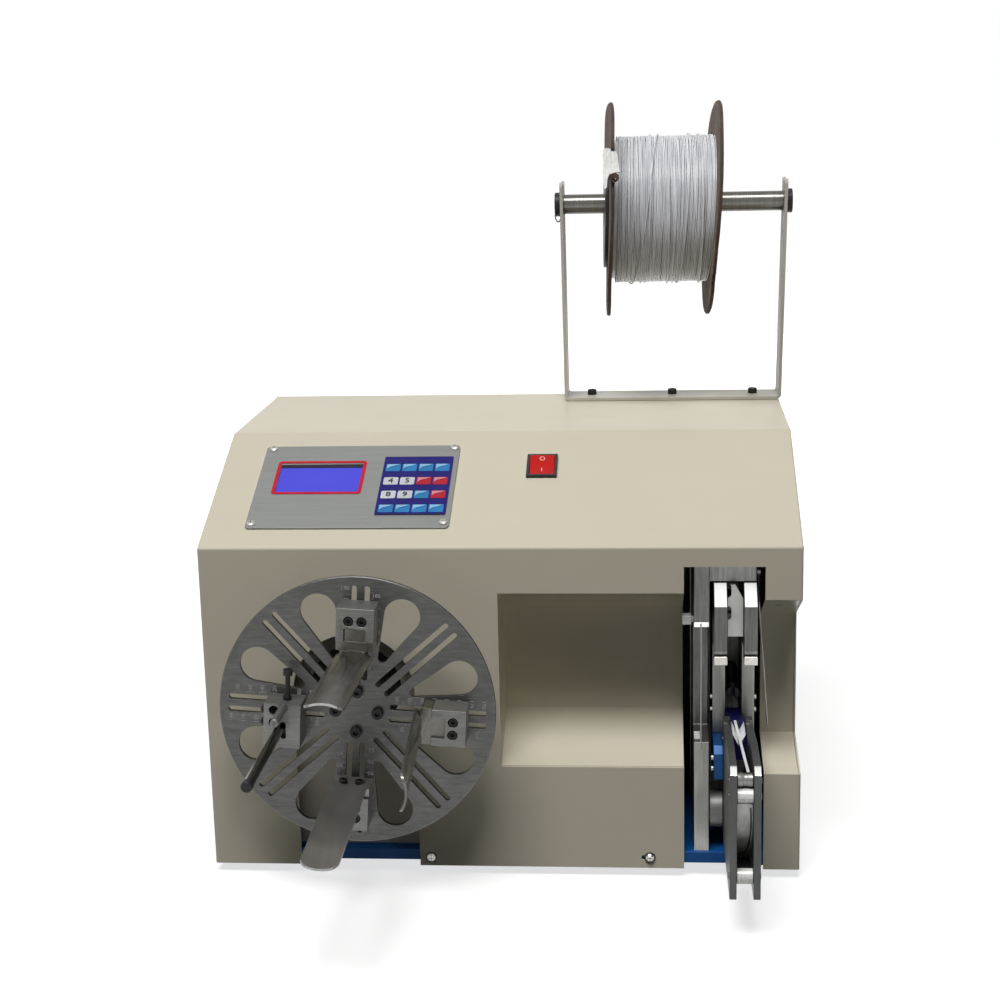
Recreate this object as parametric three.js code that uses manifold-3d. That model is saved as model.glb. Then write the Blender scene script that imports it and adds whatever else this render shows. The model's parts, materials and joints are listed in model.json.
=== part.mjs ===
// Cable winding and tying machine, in millimetres: +X right, +Y to the back, +Z up.
// The origin is the centre of the base plate's underside. Heights are above that face.

import * as THREE from 'three';
import { mergeVertices } from 'three/addons/utils/BufferGeometryUtils.js';
import Module from 'manifold-3d';

const wasm = await Module();
wasm.setup();

// Fits, tools and facets
const gap = 0.3;
const overrun = 6;
const lap = 0.5;
const facets = { fine: 48, round: 28, sweep: 24, small: 20, tiny: 12, drop: 8, bend: 6, nip: 4 };

// Housing
const cover = { width: 492, depth: 347, wall: 1.5, skirt: 4, frontRise: 272.5, topRise: 338.5, slopeRun: 155 };
const base = { thickness: 10, frontInset: 2.2, sideInset: 2.3, backInset: 2.4 };
const foot = { radius: 15, height: 12, inset: 36, bevel: 2 };
const port = { inset: 125, radius: 50.6, rise: 148.8 };
const slot = { inset: 30, width: 65.2, rise: 256 };
const recess = { behindDisc: 0.7, low: 85, high: 234, depth: 65, lowSlant: 29.5, highSlant: 29.5, wall: 1.5 };
const sideRecess = { low: 80, high: 228.5, lowSlant: 13, highSlant: 29.5 };
const rearPanel = { thickness: 1.5, vents: 7, ventWidth: 70, ventHeight: 4, ventPitch: 10, ventX: 110, ventRise: 200 };
const inlet = { width: 27, height: 20, depth: 22, flangeWidth: 50, flangeHeight: 24, flange: 3, inset: 56, rise: 60 };
const inletSocket = { width: 24.4, height: 16.4, depth: 15 };

// Control plate, display, keypad and switch, on the slope: x across, s up the slope from the front bend
const plate = { inset: 120.3, s: 84.6, width: 170.2, length: 119.2, thickness: 1.5, corner: 4 };
const display = { offsetX: -32, offsetS: 11, width: 71, length: 40.2, sink: 0.4 };
const keypad = { offsetX: 51.2, offsetS: -0.4, width: 59.5, length: 83.6, thickness: 0.6 };
const key = { width: 12.7, length: 11, raise: 0.5, pitchX: 14.1, pitchS: 19.7, count: 4, dropS: 4.4 };
const bezel = { offsetX: 157.7, s: 112.5, width: 26.2, length: 32, raise: 2.5, rim: 2.2, body: 20 };
const rocker = { tilt: 9, dish: 1.2, depth: 9, pivotDrop: 4.5, axleRadius: 1.6, side: 0.5, end: 1.4 };
const board = { width: 120, length: 90, thickness: 1.6, standOff: 12, postRadius: 3, postInset: 6 };

// Winding gearmotor and its bracket
const gearmotor = { head: 80, headDepth: 42, corner: 8, motorRadius: 42, motorLength: 105, bracketSetback: 12 };
const motorBracket = { width: 108, rise: 205, thickness: 6, bore: 38, foot: 44 };

// Winding disc, hub and clamps: r is outwards from the disc's centre, t along its rim
const disc = { inset: 134.7, rise: 148.8, radius: 112, thickness: 4, reach: 45, turn: 4, spokes: 8 };
const discSlot = { width: 4.6, inner: 26, outer: 104.5, spread: 10.4 };
const drop = { bigRadius: 14.6, bigAt: 88, smallRadius: 3.6, smallAt: 49 };
const hub = { flangeRadius: 26, flange: 8, shaftRadius: 15, screwCircle: 17, screwRadius: 2.75, screws: 4 };
const clampBlock = { width: 30, length: 27.5, depth: 25.7, screwInset: 10.5, boreRadius: 4, boreDepth: 17, shank: 2.3 };
const notch = { width: 17.6, length: 10.5, depth: 14 };
const carrier = { length: 7.2, depth: 22.5, tongueDepth: 10 };
const blade = { width: 29, rootWidth: 17, radius: 28.5, thickness: 1.8, root: 21, tip: 166, corner: 6, rootStart: 6, lean: 2.8 };
const clampReach = { top: 65.5, right: 63, bottom: 64 };
const rodClamp = { inner: 41.2, length: 29.4, low: 25.5, high: 10.5, screwInset: 8.1 };
const clampRod = { radius: 4, inner: 16.5, t: 10.5, tip: 148, root: 6, capRadius: 4.5, capLength: 7 };
const clampPin = { radius: 3.4, t: 7.2, inner: 14, root: 4, tip: 35 };
const clampScrew = { radius: 2, headRadius: 3.8, headHeight: 5, rise: 20, inner: 13, setback: 13, collar: 3.4 };

// Reel bracket, shaft and reel
const bracket = { overhang: 1.7, span: 205.4, thickness: 3, width: 40, backInset: 4, rise: 206, bend: 5 };
const splay = { left: 2, right: 4.6 };
const shaft = { radius: 9.2, rise: 185, inset: 1 };
const collar = { radius: 11.2, width: 5, rightWidth: 4.8 };
const reel = { setIn: 42.5, width: 99.4, bore: 15.4, flangeRadius: 99.4, flange: 3.6 };
const reelTiltDegrees = { left: 1.25, right: 3.1 };
const endDisc = { radius: 53.5, thickness: 3 };
const winding = { radius: 68.3, wire: 3.2, loops: 22, sides: 6, steps: 24 };

// Tying head: setbacks are behind the front plane of the housing
const head = { inset: 53.2, nose: 4, throat: 47, rear: 119.7 };
const jaw = { thickness: 10.4, space: 14, foot: 98.5, noseLow: 179.5, noseHigh: 221.5, facet: 16, round: 5 };
const rail = { offset: 33.8, width: 12.3, rise: 255.5, throatLow: 106, throatHigh: 208 };
const wireCutShare = 0.55;
const crossBlock = { setback: 22, depth: 38, height: 13.6 };
const wirePlate = { setback: 14, thickness: 3, low: 193.5, side: 0.7, cut: 12, notchDepth: 2.9, notchLength: 11.5 };
const wirePlateNotches = { low: 213.5, pitch: 18.9 };
const headFrame = { leftRoom: 7.2, rightRoom: 2, rise: 250, thickness: 12, foot: 38, footThickness: 8 };
const throatBlock = { front: -5, low: 94, high: 116, groove: 11, grooveDepth: 9, tang: 15 };
const spindle = { radius: 5.5, rise: 132, front: 52, hook: 9, hookWire: 1.6, collarRadius: 6.2, collarWidth: 6 };
const twistMotor = { radius: 25, length: 58 };
const feed = { radius: 8, rise: 205, setback: 70, groove: 0.8, space: 0.7 };
const coupler = { width: 7.9, low: 70, front: 12, rear: 72, bevel: 6 };
const boss = { radius: 15.5, setback: 20, rise: 42 };
const whisker = { radius: 0.8, setback: 25, barrelRadius: 3, barrelWidth: 2.8, rise: 246, steps: 14 };
const whiskerX = [1.3, 1.9, 4.1, 5.9, 7.3, 9.2];
const whiskerDrop = [2, 29, 60, 79, 100, 131];

// Guide arm: y is behind the front plane, z the height
const arm = { shift: 2.6, thickness: 5.5, space: 12.8, pivotY: 34, pivotZ: 100.5, lobe: 8.7, pin: 4, pinHead: 2.2 };
const armFront = { y: -116, low: 23, high: 124.3, chamferY: -108, chamferZ: 129 };
const armTop = { kinkY: -50, kinkZ: 127, stepY: 13, stepZ: 118.2, landY: 17, landZ: 120.6, endY: 27 };
const armRear = { y: 42, low: 13.5 };
const band = { radius: 73, thickness: 2, endY: -36, pinRadius: 6.3, pinSetback: 7.6, pinHigh: 105, pinLow: 39.5 };
const noseRoller = { radius: 5.6, setback: 9.8, rise: 117.2 };
const strip = { width: 2.2, thickness: 0.8, rear: 24, rearRise: 117.6, front: -107, frontRise: 123.6, skew: 2.2 };

// Places worked out from the sizes
const frontY = -cover.depth / 2;
const backY = cover.depth / 2;
const halfWidth = cover.width / 2;
const slopeAngle = Math.atan2(cover.topRise - cover.frontRise, cover.slopeRun);
const portX = port.inset - halfWidth;
const discX = disc.inset - halfWidth;
const plateX = plate.inset - halfWidth;
const bezelX = plateX + bezel.offsetX;
const inletX = inlet.inset - halfWidth;
const slotSpan = [halfWidth - slot.inset - slot.width, halfWidth - slot.inset];
const recessLeft = discX + disc.radius - recess.behindDisc;
const headX = halfWidth - head.inset;
const railSpan = [headX - rail.offset, headX - rail.offset + rail.width];
const bracketSpan = [halfWidth + bracket.overhang - bracket.span, halfWidth + bracket.overhang];
const reelX = bracketSpan[0] + reel.setIn;
const headLeft = headX - jaw.space / 2 - jaw.thickness;
const headRight = headX + jaw.space / 2 + jaw.thickness;
const armX = headX + arm.shift;
const armHalf = arm.space / 2 + arm.thickness;
const bracketFoot = cover.topRise + gap;
const shaftZ = bracketFoot + shaft.rise;
const bracketY = backY - bracket.backInset - bracket.width / 2;
const reelZ = shaftZ - (reel.bore - shaft.radius - gap);
const uprightAtShare = (shaft.rise + collar.radius) / bracket.rise;
const shaftSpan = [bracketSpan[0] - splay.left * uprightAtShare - gap - collar.width,
  bracketSpan[1] + splay.right * uprightAtShare + gap + collar.rightWidth];

// Shapes and solids

function toSolid(geometry) {
  const bare = geometry.clone();
  bare.deleteAttribute('normal');
  bare.deleteAttribute('uv');
  const merged = mergeVertices(bare);
  const mesh = new wasm.Mesh({
    numProp: 3,
    vertProperties: new Float32Array(merged.attributes.position.array),
    triVerts: new Uint32Array(merged.index.array),
  });
  return new wasm.Manifold(mesh);
}

function toGeometry(solid) {
  const mesh = solid.getMesh();
  const geometry = new THREE.BufferGeometry();
  geometry.setAttribute('position', new THREE.BufferAttribute(mesh.vertProperties.slice(), 3));
  geometry.setIndex(new THREE.BufferAttribute(mesh.triVerts.slice(), 1));
  geometry.computeVertexNormals();
  return geometry;
}

function block(x, y, z) {
  const box = new THREE.BoxGeometry(x[1] - x[0], y[1] - y[0], z[1] - z[0]);
  box.translate((x[0] + x[1]) / 2, (y[0] + y[1]) / 2, (z[0] + z[1]) / 2);
  return toSolid(box);
}

// A cylinder along an axis from a span's start to its end, at a point of the two other axes in order.
function cylinder(axis, span, at, radius, sides = facets.round) {
  const body = new THREE.CylinderGeometry(radius, radius, span[1] - span[0], sides);
  const middle = (span[0] + span[1]) / 2;
  if (axis === 'x') {
    body.rotateZ(-Math.PI / 2).translate(middle, at[0], at[1]);
  } else if (axis === 'y') {
    body.translate(at[0], middle, at[1]);
  } else {
    body.rotateX(Math.PI / 2).translate(at[0], at[1], middle);
  }
  return toSolid(body);
}

function outline(points) {
  const shape = new THREE.Shape();
  shape.setFromPoints(points.map(([u, v]) => new THREE.Vector2(u, v)));
  return shape;
}

function extrude(shape, depth, curveSegments) {
  return new THREE.ExtrudeGeometry(shape, { depth, bevelEnabled: false, curveSegments });
}

// Prisms: an outline in Y-Z along X, in X-Z along Y, or in X-Y along Z.
function prismX(shape, span, segments = facets.bend) {
  const body = extrude(shape, span[1] - span[0], segments);
  body.rotateZ(Math.PI / 2).rotateY(Math.PI / 2).translate(span[0], 0, 0);
  return toSolid(body);
}

function prismY(shape, span, segments = facets.bend) {
  const body = extrude(shape, span[1] - span[0], segments);
  body.rotateX(Math.PI / 2).translate(0, span[1], 0);
  return toSolid(body);
}

function prismZ(shape, span, segments = facets.bend) {
  const body = extrude(shape, span[1] - span[0], segments);
  body.translate(0, 0, span[0]);
  return toSolid(body);
}

function roundedRectangle(width, height, corner, centreU = 0, centreV = 0) {
  const left = centreU - width / 2;
  const low = centreV - height / 2;
  const shape = new THREE.Shape();
  shape.absarc(left + width - corner, low + corner, corner, -Math.PI / 2, 0);
  shape.absarc(left + width - corner, low + height - corner, corner, 0, Math.PI / 2);
  shape.absarc(left + corner, low + height - corner, corner, Math.PI / 2, Math.PI);
  shape.absarc(left + corner, low + corner, corner, Math.PI, Math.PI * 3 / 2);
  shape.closePath();
  return shape;
}

// A slot with round ends between two points of one line, along v.
function stadium(centreU, low, high, width) {
  const radius = width / 2;
  const shape = new THREE.Shape();
  shape.absarc(centreU, high - radius, radius, 0, Math.PI);
  shape.absarc(centreU, low + radius, radius, Math.PI, Math.PI * 2);
  shape.closePath();
  return shape;
}

function lathe(profile, sides = facets.round) {
  return new THREE.LatheGeometry(profile.map(([r, h]) => new THREE.Vector2(r, h)), sides);
}

function material(color, roughness, metalness = 0) {
  return new THREE.MeshStandardMaterial({ color, roughness, metalness });
}

const finish = {
  cream: material(0xd6cfbb, 0.45),
  blue: material(0x163a6e, 0.45),
  steel: material(0x9a9b9a, 0.35, 0.9),
  darkSteel: material(0x55575a, 0.4, 0.9),
  aluminium: material(0xb8bab8, 0.35, 0.9),
  discGrey: material(0x6a6c6e, 0.4, 0.8),
  chrome: material(0xd0d0d0, 0.1, 1),
  black: material(0x1a1a1b, 0.5),
  rubber: material(0x202020, 0.9),
  red: material(0xb32024, 0.3),
  screen: material(0x4a4ae6, 0.2),
  navy: material(0x241f70, 0.4),
  cardboard: material(0x6e5c50, 0.9),
  wire: material(0xdcdde0, 0.4),
  green: material(0x1f5a33, 0.6),
  anodised: material(0x1d4f8f, 0.35, 0.6),
};

function piece(name, solid, look) {
  const geometry = solid.isBufferGeometry ? solid : toGeometry(solid);
  const mesh = new THREE.Mesh(geometry, look);
  mesh.name = name;
  return mesh;
}

// Housing

function coverInset(inset) {
  const slope = Math.tan(slopeAngle);
  const front = frontY + inset;
  const top = cover.topRise - inset;
  const shift = inset / Math.cos(slopeAngle);
  const bendZ = cover.frontRise + slope * inset - shift;
  const bendY = frontY + (top - cover.frontRise + shift) / slope;
  return { front, top, bendZ, bendY };
}

function recessSection(sizes, margin, from, to) {
  const lowAt = (y) => sizes.low + sizes.lowSlant * Math.max(y - frontY, 0) / recess.depth - margin;
  const highAt = (y) => sizes.high - sizes.highSlant * Math.max(y - frontY, 0) / recess.depth + margin;
  const points = [[from, lowAt(from)], [to, lowAt(to)], [to, highAt(to)], [from, highAt(from)]];
  if (from < frontY) {
    points.push([frontY, highAt(frontY)]);
    points.unshift([frontY, lowAt(frontY)]);
    return outline([points[1], points[0], points[2], points[3], points[5], points[4]]);
  }
  return outline(points);
}

function coverShell() {
  const back = backY - rearPanel.thickness - gap;
  const outer = coverInset(0);
  const inner = coverInset(cover.wall);
  const skin = prismX(outline([
    [outer.front, -cover.skirt], [outer.front, outer.bendZ], [outer.bendY, outer.top],
    [back, outer.top], [back, -cover.skirt],
  ]), [-halfWidth, halfWidth]);
  const hollow = prismX(outline([
    [inner.front, -cover.skirt - overrun], [inner.front, inner.bendZ], [inner.bendY, inner.top],
    [back + overrun, inner.top], [back + overrun, -cover.skirt - overrun],
  ]), [-halfWidth + cover.wall, halfWidth - cover.wall]);
  const through = [frontY - overrun, frontY + cover.wall + overrun];
  const portShape = stadium(portX, -cover.skirt - overrun - port.radius, port.rise + port.radius, port.radius * 2);
  const slotCut = block([slotSpan[0], slotSpan[1]], through, [-cover.skirt - overrun, slot.rise]);
  const recessCut = block([recessLeft, slotSpan[0] + lap], through, [recess.low, recess.high]);
  const sideShape = recessSection(sideRecess, 0, frontY - overrun, frontY + recess.depth);
  const sideCut = prismX(sideShape, [slotSpan[1] - lap, halfWidth + overrun]);
  return skin.subtract(hollow)
    .subtract(prismY(portShape, through, facets.sweep))
    .subtract(slotCut)
    .subtract(recessCut)
    .subtract(sideCut)
    .subtract(bezelOpening());
}

// The opening for the switch body, through the sloping wall.
function bezelOpening() {
  const width = bezel.width - bezel.rim;
  const length = bezel.length - bezel.rim;
  const cut = new THREE.BoxGeometry(width, length, overrun * 2);
  cut.translate(bezelX, bezel.s, 0).applyMatrix4(slopeMatrix());
  return toSolid(cut);
}

function slopeMatrix() {
  const turn = new THREE.Matrix4().makeRotationX(slopeAngle);
  const place = new THREE.Matrix4().makeTranslation(0, frontY, cover.frontRise);
  return place.multiply(turn);
}

function liner(sizes, x, closedLeft) {
  const front = frontY + cover.wall + gap;
  const back = frontY + recess.depth;
  const left = closedLeft ? x[0] - recess.wall : x[0];
  const outerShape = recessSection(sizes, recess.wall, front, back + recess.wall);
  const innerShape = recessSection(sizes, 0, front - overrun / 2, back);
  const cutLeft = closedLeft ? x[0] : x[0] - overrun;
  const outer = prismX(outerShape, [left, x[1]]);
  return outer.subtract(prismX(innerShape, [cutLeft, x[1] + overrun]));
}

function rearWall() {
  let wall = block([-halfWidth, halfWidth], [backY - rearPanel.thickness, backY], [-cover.skirt, cover.topRise]);
  const through = [backY - rearPanel.thickness - overrun, backY + overrun];
  for (let row = 0; row < rearPanel.vents; row += 1) {
    const z = rearPanel.ventRise + row * rearPanel.ventPitch;
    for (const side of [-1, 1]) {
      const x = side * rearPanel.ventX;
      wall = wall.subtract(block([x - rearPanel.ventWidth / 2, x + rearPanel.ventWidth / 2], through,
        [z, z + rearPanel.ventHeight]));
    }
  }
  const hole = [inlet.width / 2 + gap, inlet.height / 2 + gap];
  return wall.subtract(block([inletX - hole[0], inletX + hole[0]], through,
    [inlet.rise - hole[1], inlet.rise + hole[1]]));
}

function powerInlet() {
  const face = backY + inlet.flange + gap;
  const flangeShape = roundedRectangle(inlet.flangeWidth, inlet.flangeHeight, inlet.flange, inletX, inlet.rise);
  const body = block([inletX - inlet.width / 2, inletX + inlet.width / 2],
    [backY - inlet.depth, backY + gap + lap],
    [inlet.rise - inlet.height / 2, inlet.rise + inlet.height / 2]);
  const socket = block([inletX - inletSocket.width / 2, inletX + inletSocket.width / 2],
    [face - inletSocket.depth, face + overrun],
    [inlet.rise - inletSocket.height / 2, inlet.rise + inletSocket.height / 2]);
  return body.add(prismY(flangeShape, [backY + gap, face])).subtract(socket);
}

function housing() {
  const group = new THREE.Group();
  const side = halfWidth - base.sideInset;
  group.add(piece('base_plate', block([-side, side], [frontY + base.frontInset, backY - base.backInset],
    [0, base.thickness]), finish.blue));
  let number = 1;
  for (const side of [-1, 1]) {
    for (const end of [-1, 1]) {
      const profile = [[0, -foot.height], [foot.radius - foot.bevel, -foot.height],
        [foot.radius, foot.bevel - foot.height], [foot.radius, -gap], [0, -gap]];
      const body = toSolid(lathe(profile, facets.small).rotateX(Math.PI / 2));
      const mesh = piece(`rubber_foot_${number}`, body, finish.rubber);
      mesh.position.set(side * (halfWidth - foot.inset), end * (backY - foot.inset), 0);
      group.add(mesh);
      number += 1;
    }
  }
  group.add(piece('housing_cover', coverShell(), finish.cream));
  group.add(piece('recess_liner', liner(recess, [recessLeft, slotSpan[0]], true), finish.cream));
  group.add(piece('side_recess_liner',
    liner(sideRecess, [slotSpan[1], halfWidth - cover.wall - gap], false), finish.cream));
  group.add(piece('rear_panel', rearWall(), finish.cream));
  group.add(piece('power_inlet', powerInlet(), finish.black));
  return group;
}

// Controls on the slope

function controlPlate() {
  const shape = roundedRectangle(plate.width, plate.length, plate.corner, plateX, plate.s);
  const seat = [gap, gap + plate.thickness];
  const windowX = plateX + display.offsetX;
  const windowS = plate.s + display.offsetS;
  const opening = block([windowX - display.width / 2 - gap, windowX + display.width / 2 + gap],
    [windowS - display.length / 2 - gap, windowS + display.length / 2 + gap], [-overrun, overrun]);
  return prismZ(shape, seat).subtract(opening);
}

function displayWindow() {
  const x = plateX + display.offsetX;
  const s = plate.s + display.offsetS;
  return block([x - display.width / 2, x + display.width / 2], [s - display.length / 2, s + display.length / 2],
    [gap, gap + plate.thickness - display.sink]);
}

function keypadSheet() {
  const x = plateX + keypad.offsetX;
  const s = plate.s + keypad.offsetS;
  const low = plate.thickness + gap * 2;
  const top = low + keypad.thickness;
  let sheet = block([x - keypad.width / 2, x + keypad.width / 2], [s - keypad.length / 2, s + keypad.length / 2],
    [low, top]);
  const middle = (key.count - 1) / 2;
  for (let row = 0; row < key.count; row += 1) {
    for (let column = 0; column < key.count; column += 1) {
      const keyX = x + (column - middle) * key.pitchX;
      const keyS = s - key.dropS + (row - middle) * key.pitchS;
      sheet = sheet.add(block([keyX - key.width / 2, keyX + key.width / 2],
        [keyS - key.length / 2, keyS + key.length / 2], [low, top + key.raise]));
    }
  }
  return sheet;
}

function switchBezel() {
  const inner = { width: bezel.width - bezel.rim * 2, length: bezel.length - bezel.rim * 2 };
  const body = block([bezelX - inner.width / 2 - bezel.rim / 4, bezelX + inner.width / 2 + bezel.rim / 4],
    [bezel.s - inner.length / 2 - bezel.rim / 4, bezel.s + inner.length / 2 + bezel.rim / 4],
    [-bezel.body, gap + lap]);
  const frame = prismZ(roundedRectangle(bezel.width, bezel.length, bezel.rim / 2, bezelX, bezel.s),
    [gap, gap + bezel.raise]);
  const well = block([bezelX - inner.width / 2, bezelX + inner.width / 2],
    [bezel.s - inner.length / 2, bezel.s + inner.length / 2], [bezel.rim - bezel.body, overrun]);
  return body.add(frame).subtract(well);
}

// The rocker turns on the line through its group's origin. It is drawn level and then tilted.
function rockerButton() {
  const half = bezel.length / 2 - bezel.rim - rocker.end;
  const width = bezel.width / 2 - bezel.rim - rocker.side;
  const crest = rocker.pivotDrop + bezel.raise;
  const tip = crest + half * Math.tan(THREE.MathUtils.degToRad(rocker.tilt)) - rocker.dish;
  const shape = new THREE.Shape();
  shape.moveTo(-half, tip);
  shape.quadraticCurveTo(0, crest - rocker.dish, half, tip);
  shape.lineTo(half - rocker.dish, -rocker.axleRadius);
  shape.lineTo(rocker.axleRadius, rocker.pivotDrop - rocker.depth);
  shape.lineTo(-rocker.axleRadius, rocker.pivotDrop - rocker.depth);
  shape.lineTo(-half + rocker.dish, -rocker.axleRadius);
  shape.closePath();
  return prismX(shape, [-width, width]);
}

function controlBoard() {
  const top = -cover.wall - gap;
  const low = top - board.standOff;
  let shape = block([plateX - board.width / 2, plateX + board.width / 2],
    [plate.s - board.length / 2, plate.s + board.length / 2], [low - board.thickness, low]);
  for (const side of [-1, 1]) {
    for (const end of [-1, 1]) {
      const at = [plateX + side * (board.width / 2 - board.postInset),
        plate.s + end * (board.length / 2 - board.postInset)];
      shape = shape.add(cylinder('z', [low - lap, top], at, board.postRadius, facets.tiny));
    }
  }
  return shape;
}

function controls() {
  const group = new THREE.Group();
  group.position.set(0, frontY, cover.frontRise);
  group.rotation.x = slopeAngle;
  group.add(piece('control_plate', controlPlate(), finish.steel));
  group.add(piece('display_window', displayWindow(), finish.screen));
  group.add(piece('keypad', keypadSheet(), finish.navy));
  group.add(piece('switch_bezel', switchBezel(), finish.black));
  group.add(piece('control_board', controlBoard(), finish.green));
  const button = piece('switch_rocker', rockerButton(), finish.red);
  button.position.set(bezelX, bezel.s, -rocker.pivotDrop);
  button.rotation.x = THREE.MathUtils.degToRad(rocker.tilt);
  group.add(button);
  return group;
}

// Winding gearmotor

function windingDrive() {
  const group = new THREE.Group();
  const plateFront = frontY + gearmotor.bracketSetback;
  const plateBack = plateFront + motorBracket.thickness;
  const half = motorBracket.width / 2;
  const x = [portX - half, portX + half];
  const low = base.thickness + gap;
  const upright = block(x, [plateFront, plateBack], [low, motorBracket.rise]);
  const footing = block(x, [plateBack - lap, plateBack + motorBracket.foot], [low, low + motorBracket.thickness]);
  const bore = cylinder('y', [plateFront - overrun, plateBack + overrun], [portX, port.rise],
    motorBracket.bore, facets.fine);
  group.add(piece('gearmotor_bracket', upright.add(footing).subtract(bore), finish.steel));
  const headFront = plateBack + gap;
  const headBack = headFront + gearmotor.headDepth;
  const headShape = roundedRectangle(gearmotor.head, gearmotor.head, gearmotor.corner, portX, port.rise);
  const motor = cylinder('y', [headBack - lap, headBack + gearmotor.motorLength], [portX, port.rise],
    gearmotor.motorRadius);
  group.add(piece('winding_gearmotor', prismY(headShape, [headFront, headBack]).add(motor), finish.darkSteel));
  return group;
}

// Winding disc, hub and clamps. The group's origin is on the disc's axis in the front plane of the housing,
// with local z outwards along the top clamp and local -y towards the operator.

function teardrop() {
  const reach = drop.bigAt - drop.smallAt;
  const lean = Math.asin((drop.bigRadius - drop.smallRadius) / reach);
  const shape = new THREE.Shape();
  shape.absarc(0, drop.bigAt, drop.bigRadius, -lean, Math.PI + lean);
  shape.absarc(0, drop.smallAt, drop.smallRadius, Math.PI + lean, Math.PI * 2 - lean);
  shape.closePath();
  return shape;
}

function turned(solid, degrees) {
  return solid.rotate([0, degrees, 0]);
}

function windingDisc() {
  const span = [-disc.reach, disc.thickness - disc.reach];
  const through = [span[0] - overrun, span[1] + overrun];
  let body = cylinder('y', span, [0, 0], disc.radius, facets.fine);
  const step = 360 / disc.spokes;
  const cuts = [];
  for (let spoke = 0; spoke < disc.spokes; spoke += 1) {
    for (const side of [-1, 1]) {
      const shape = stadium(side * discSlot.spread / 2, discSlot.inner, discSlot.outer, discSlot.width);
      cuts.push(turned(prismY(shape, through, facets.nip), spoke * step));
    }
    cuts.push(turned(prismY(teardrop(), through, facets.drop), (spoke + 1 / 2) * step));
  }
  for (let screw = 0; screw < hub.screws; screw += 1) {
    const hole = cylinder('y', through, [0, hub.screwCircle], hub.screwRadius, facets.tiny);
    cuts.push(turned(hole, screw * 360 / hub.screws));
  }
  for (const cut of cuts) {
    body = body.subtract(cut);
  }
  return body;
}

function windingHub() {
  const face = disc.thickness - disc.reach + gap;
  const rear = gearmotor.bracketSetback + motorBracket.thickness;
  const flange = cylinder('y', [face, face + hub.flange], [0, 0], hub.flangeRadius);
  return flange.add(cylinder('y', [face + hub.flange - lap, rear], [0, 0], hub.shaftRadius));
}

// Screw bores through a clamp block: a counterbore from its front, a shank hole through the rest.
function screwBores(front, back, radial) {
  const bores = [];
  for (const side of [-1, 1]) {
    const at = [side * discSlot.spread / 2, radial];
    bores.push(cylinder('y', [front - overrun, front + clampBlock.boreDepth], at, clampBlock.boreRadius,
      facets.small));
    bores.push(cylinder('y', [front, back + overrun], at, clampBlock.shank, facets.tiny));
  }
  return bores;
}

function fingerBlock(inner) {
  const back = -disc.reach - gap;
  const front = back - clampBlock.depth;
  const outer = inner + clampBlock.length;
  const half = clampBlock.width / 2;
  let body = block([-half, half], [front, back], [inner, outer]);
  for (const bore of screwBores(front, back, outer - clampBlock.screwInset)) {
    body = body.subtract(bore);
  }
  return body.subtract(block([-notch.width / 2, notch.width / 2], [front - overrun, front + notch.depth],
    [inner - overrun, inner + notch.length]));
}

// The finger: its carrier with the tongue in the block's notch, and the curved blade screwed under it.
function windingFinger(inner) {
  const back = -disc.reach - gap;
  const front = back - carrier.depth;
  const top = inner - gap;
  const low = top - carrier.length;
  const half = clampBlock.width / 2;
  const body = block([-half, half], [front, back], [low, top]);
  const tongueHalf = notch.width / 2 - gap;
  const notchBack = back - clampBlock.depth + notch.depth;
  const tongue = block([-tongueHalf, tongueHalf], [notchBack - gap - carrier.tongueDepth, notchBack - gap],
    [top - lap, inner + notch.length - gap]);
  const crest = [0, low - blade.radius];
  const length = [-disc.reach - blade.tip, -disc.reach - blade.rootStart];
  const ring = cylinder('y', length, crest, blade.radius, facets.fine)
    .subtract(cylinder('y', [length[0] - overrun, length[1] + overrun], crest, blade.radius - blade.thickness,
      facets.fine));
  const plan = roundedRectangle(blade.width, blade.tip - blade.root + blade.corner, blade.corner, 0,
    -disc.reach - (blade.tip + blade.root - blade.corner) / 2);
  const root = outline([[-blade.rootWidth / 2, length[1]], [blade.rootWidth / 2, length[1]],
    [blade.rootWidth / 2, front - blade.corner], [-blade.rootWidth / 2, front - blade.corner]]);
  const zone = [low - blade.radius / 2, low + lap];
  const bladeFront = prismZ(plan, zone).subtract(block([-half, half], [front, length[1] + overrun], [zone[0], top]));
  const curved = ring.intersect(bladeFront.add(prismZ(root, zone)));
  const seat = block([-blade.rootWidth / 2, blade.rootWidth / 2], [front, length[1]],
    [low - blade.thickness, low + lap]);
  const leaning = curved.translate([0, -front, -low]).rotate([-blade.lean, 0, 0]).translate([0, front, low]);
  return body.add(tongue).add(leaning).add(seat);
}

function rodBlock() {
  const back = -disc.reach - gap;
  const front = back - clampBlock.depth;
  const outer = rodClamp.inner + rodClamp.length;
  let body = block([-rodClamp.low, rodClamp.high], [front, back], [rodClamp.inner, outer]);
  for (const bore of screwBores(front, back, outer - rodClamp.screwInset)) {
    body = body.subtract(bore);
  }
  const slotWidth = (clampRod.radius + gap) * 2;
  const slotShape = new THREE.Shape();
  const radial = rodClamp.inner + clampRod.inner;
  slotShape.absarc(-clampRod.t, radial, slotWidth / 2, 0, Math.PI * 2);
  body = body.subtract(prismY(slotShape, [front - overrun, back - clampRod.root + gap]));
  const pinAt = [clampPin.t, rodClamp.inner + clampPin.inner];
  return body.subtract(cylinder('y', [front - overrun, back - clampPin.root + gap], pinAt, clampPin.radius + gap,
    facets.small));
}

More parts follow.
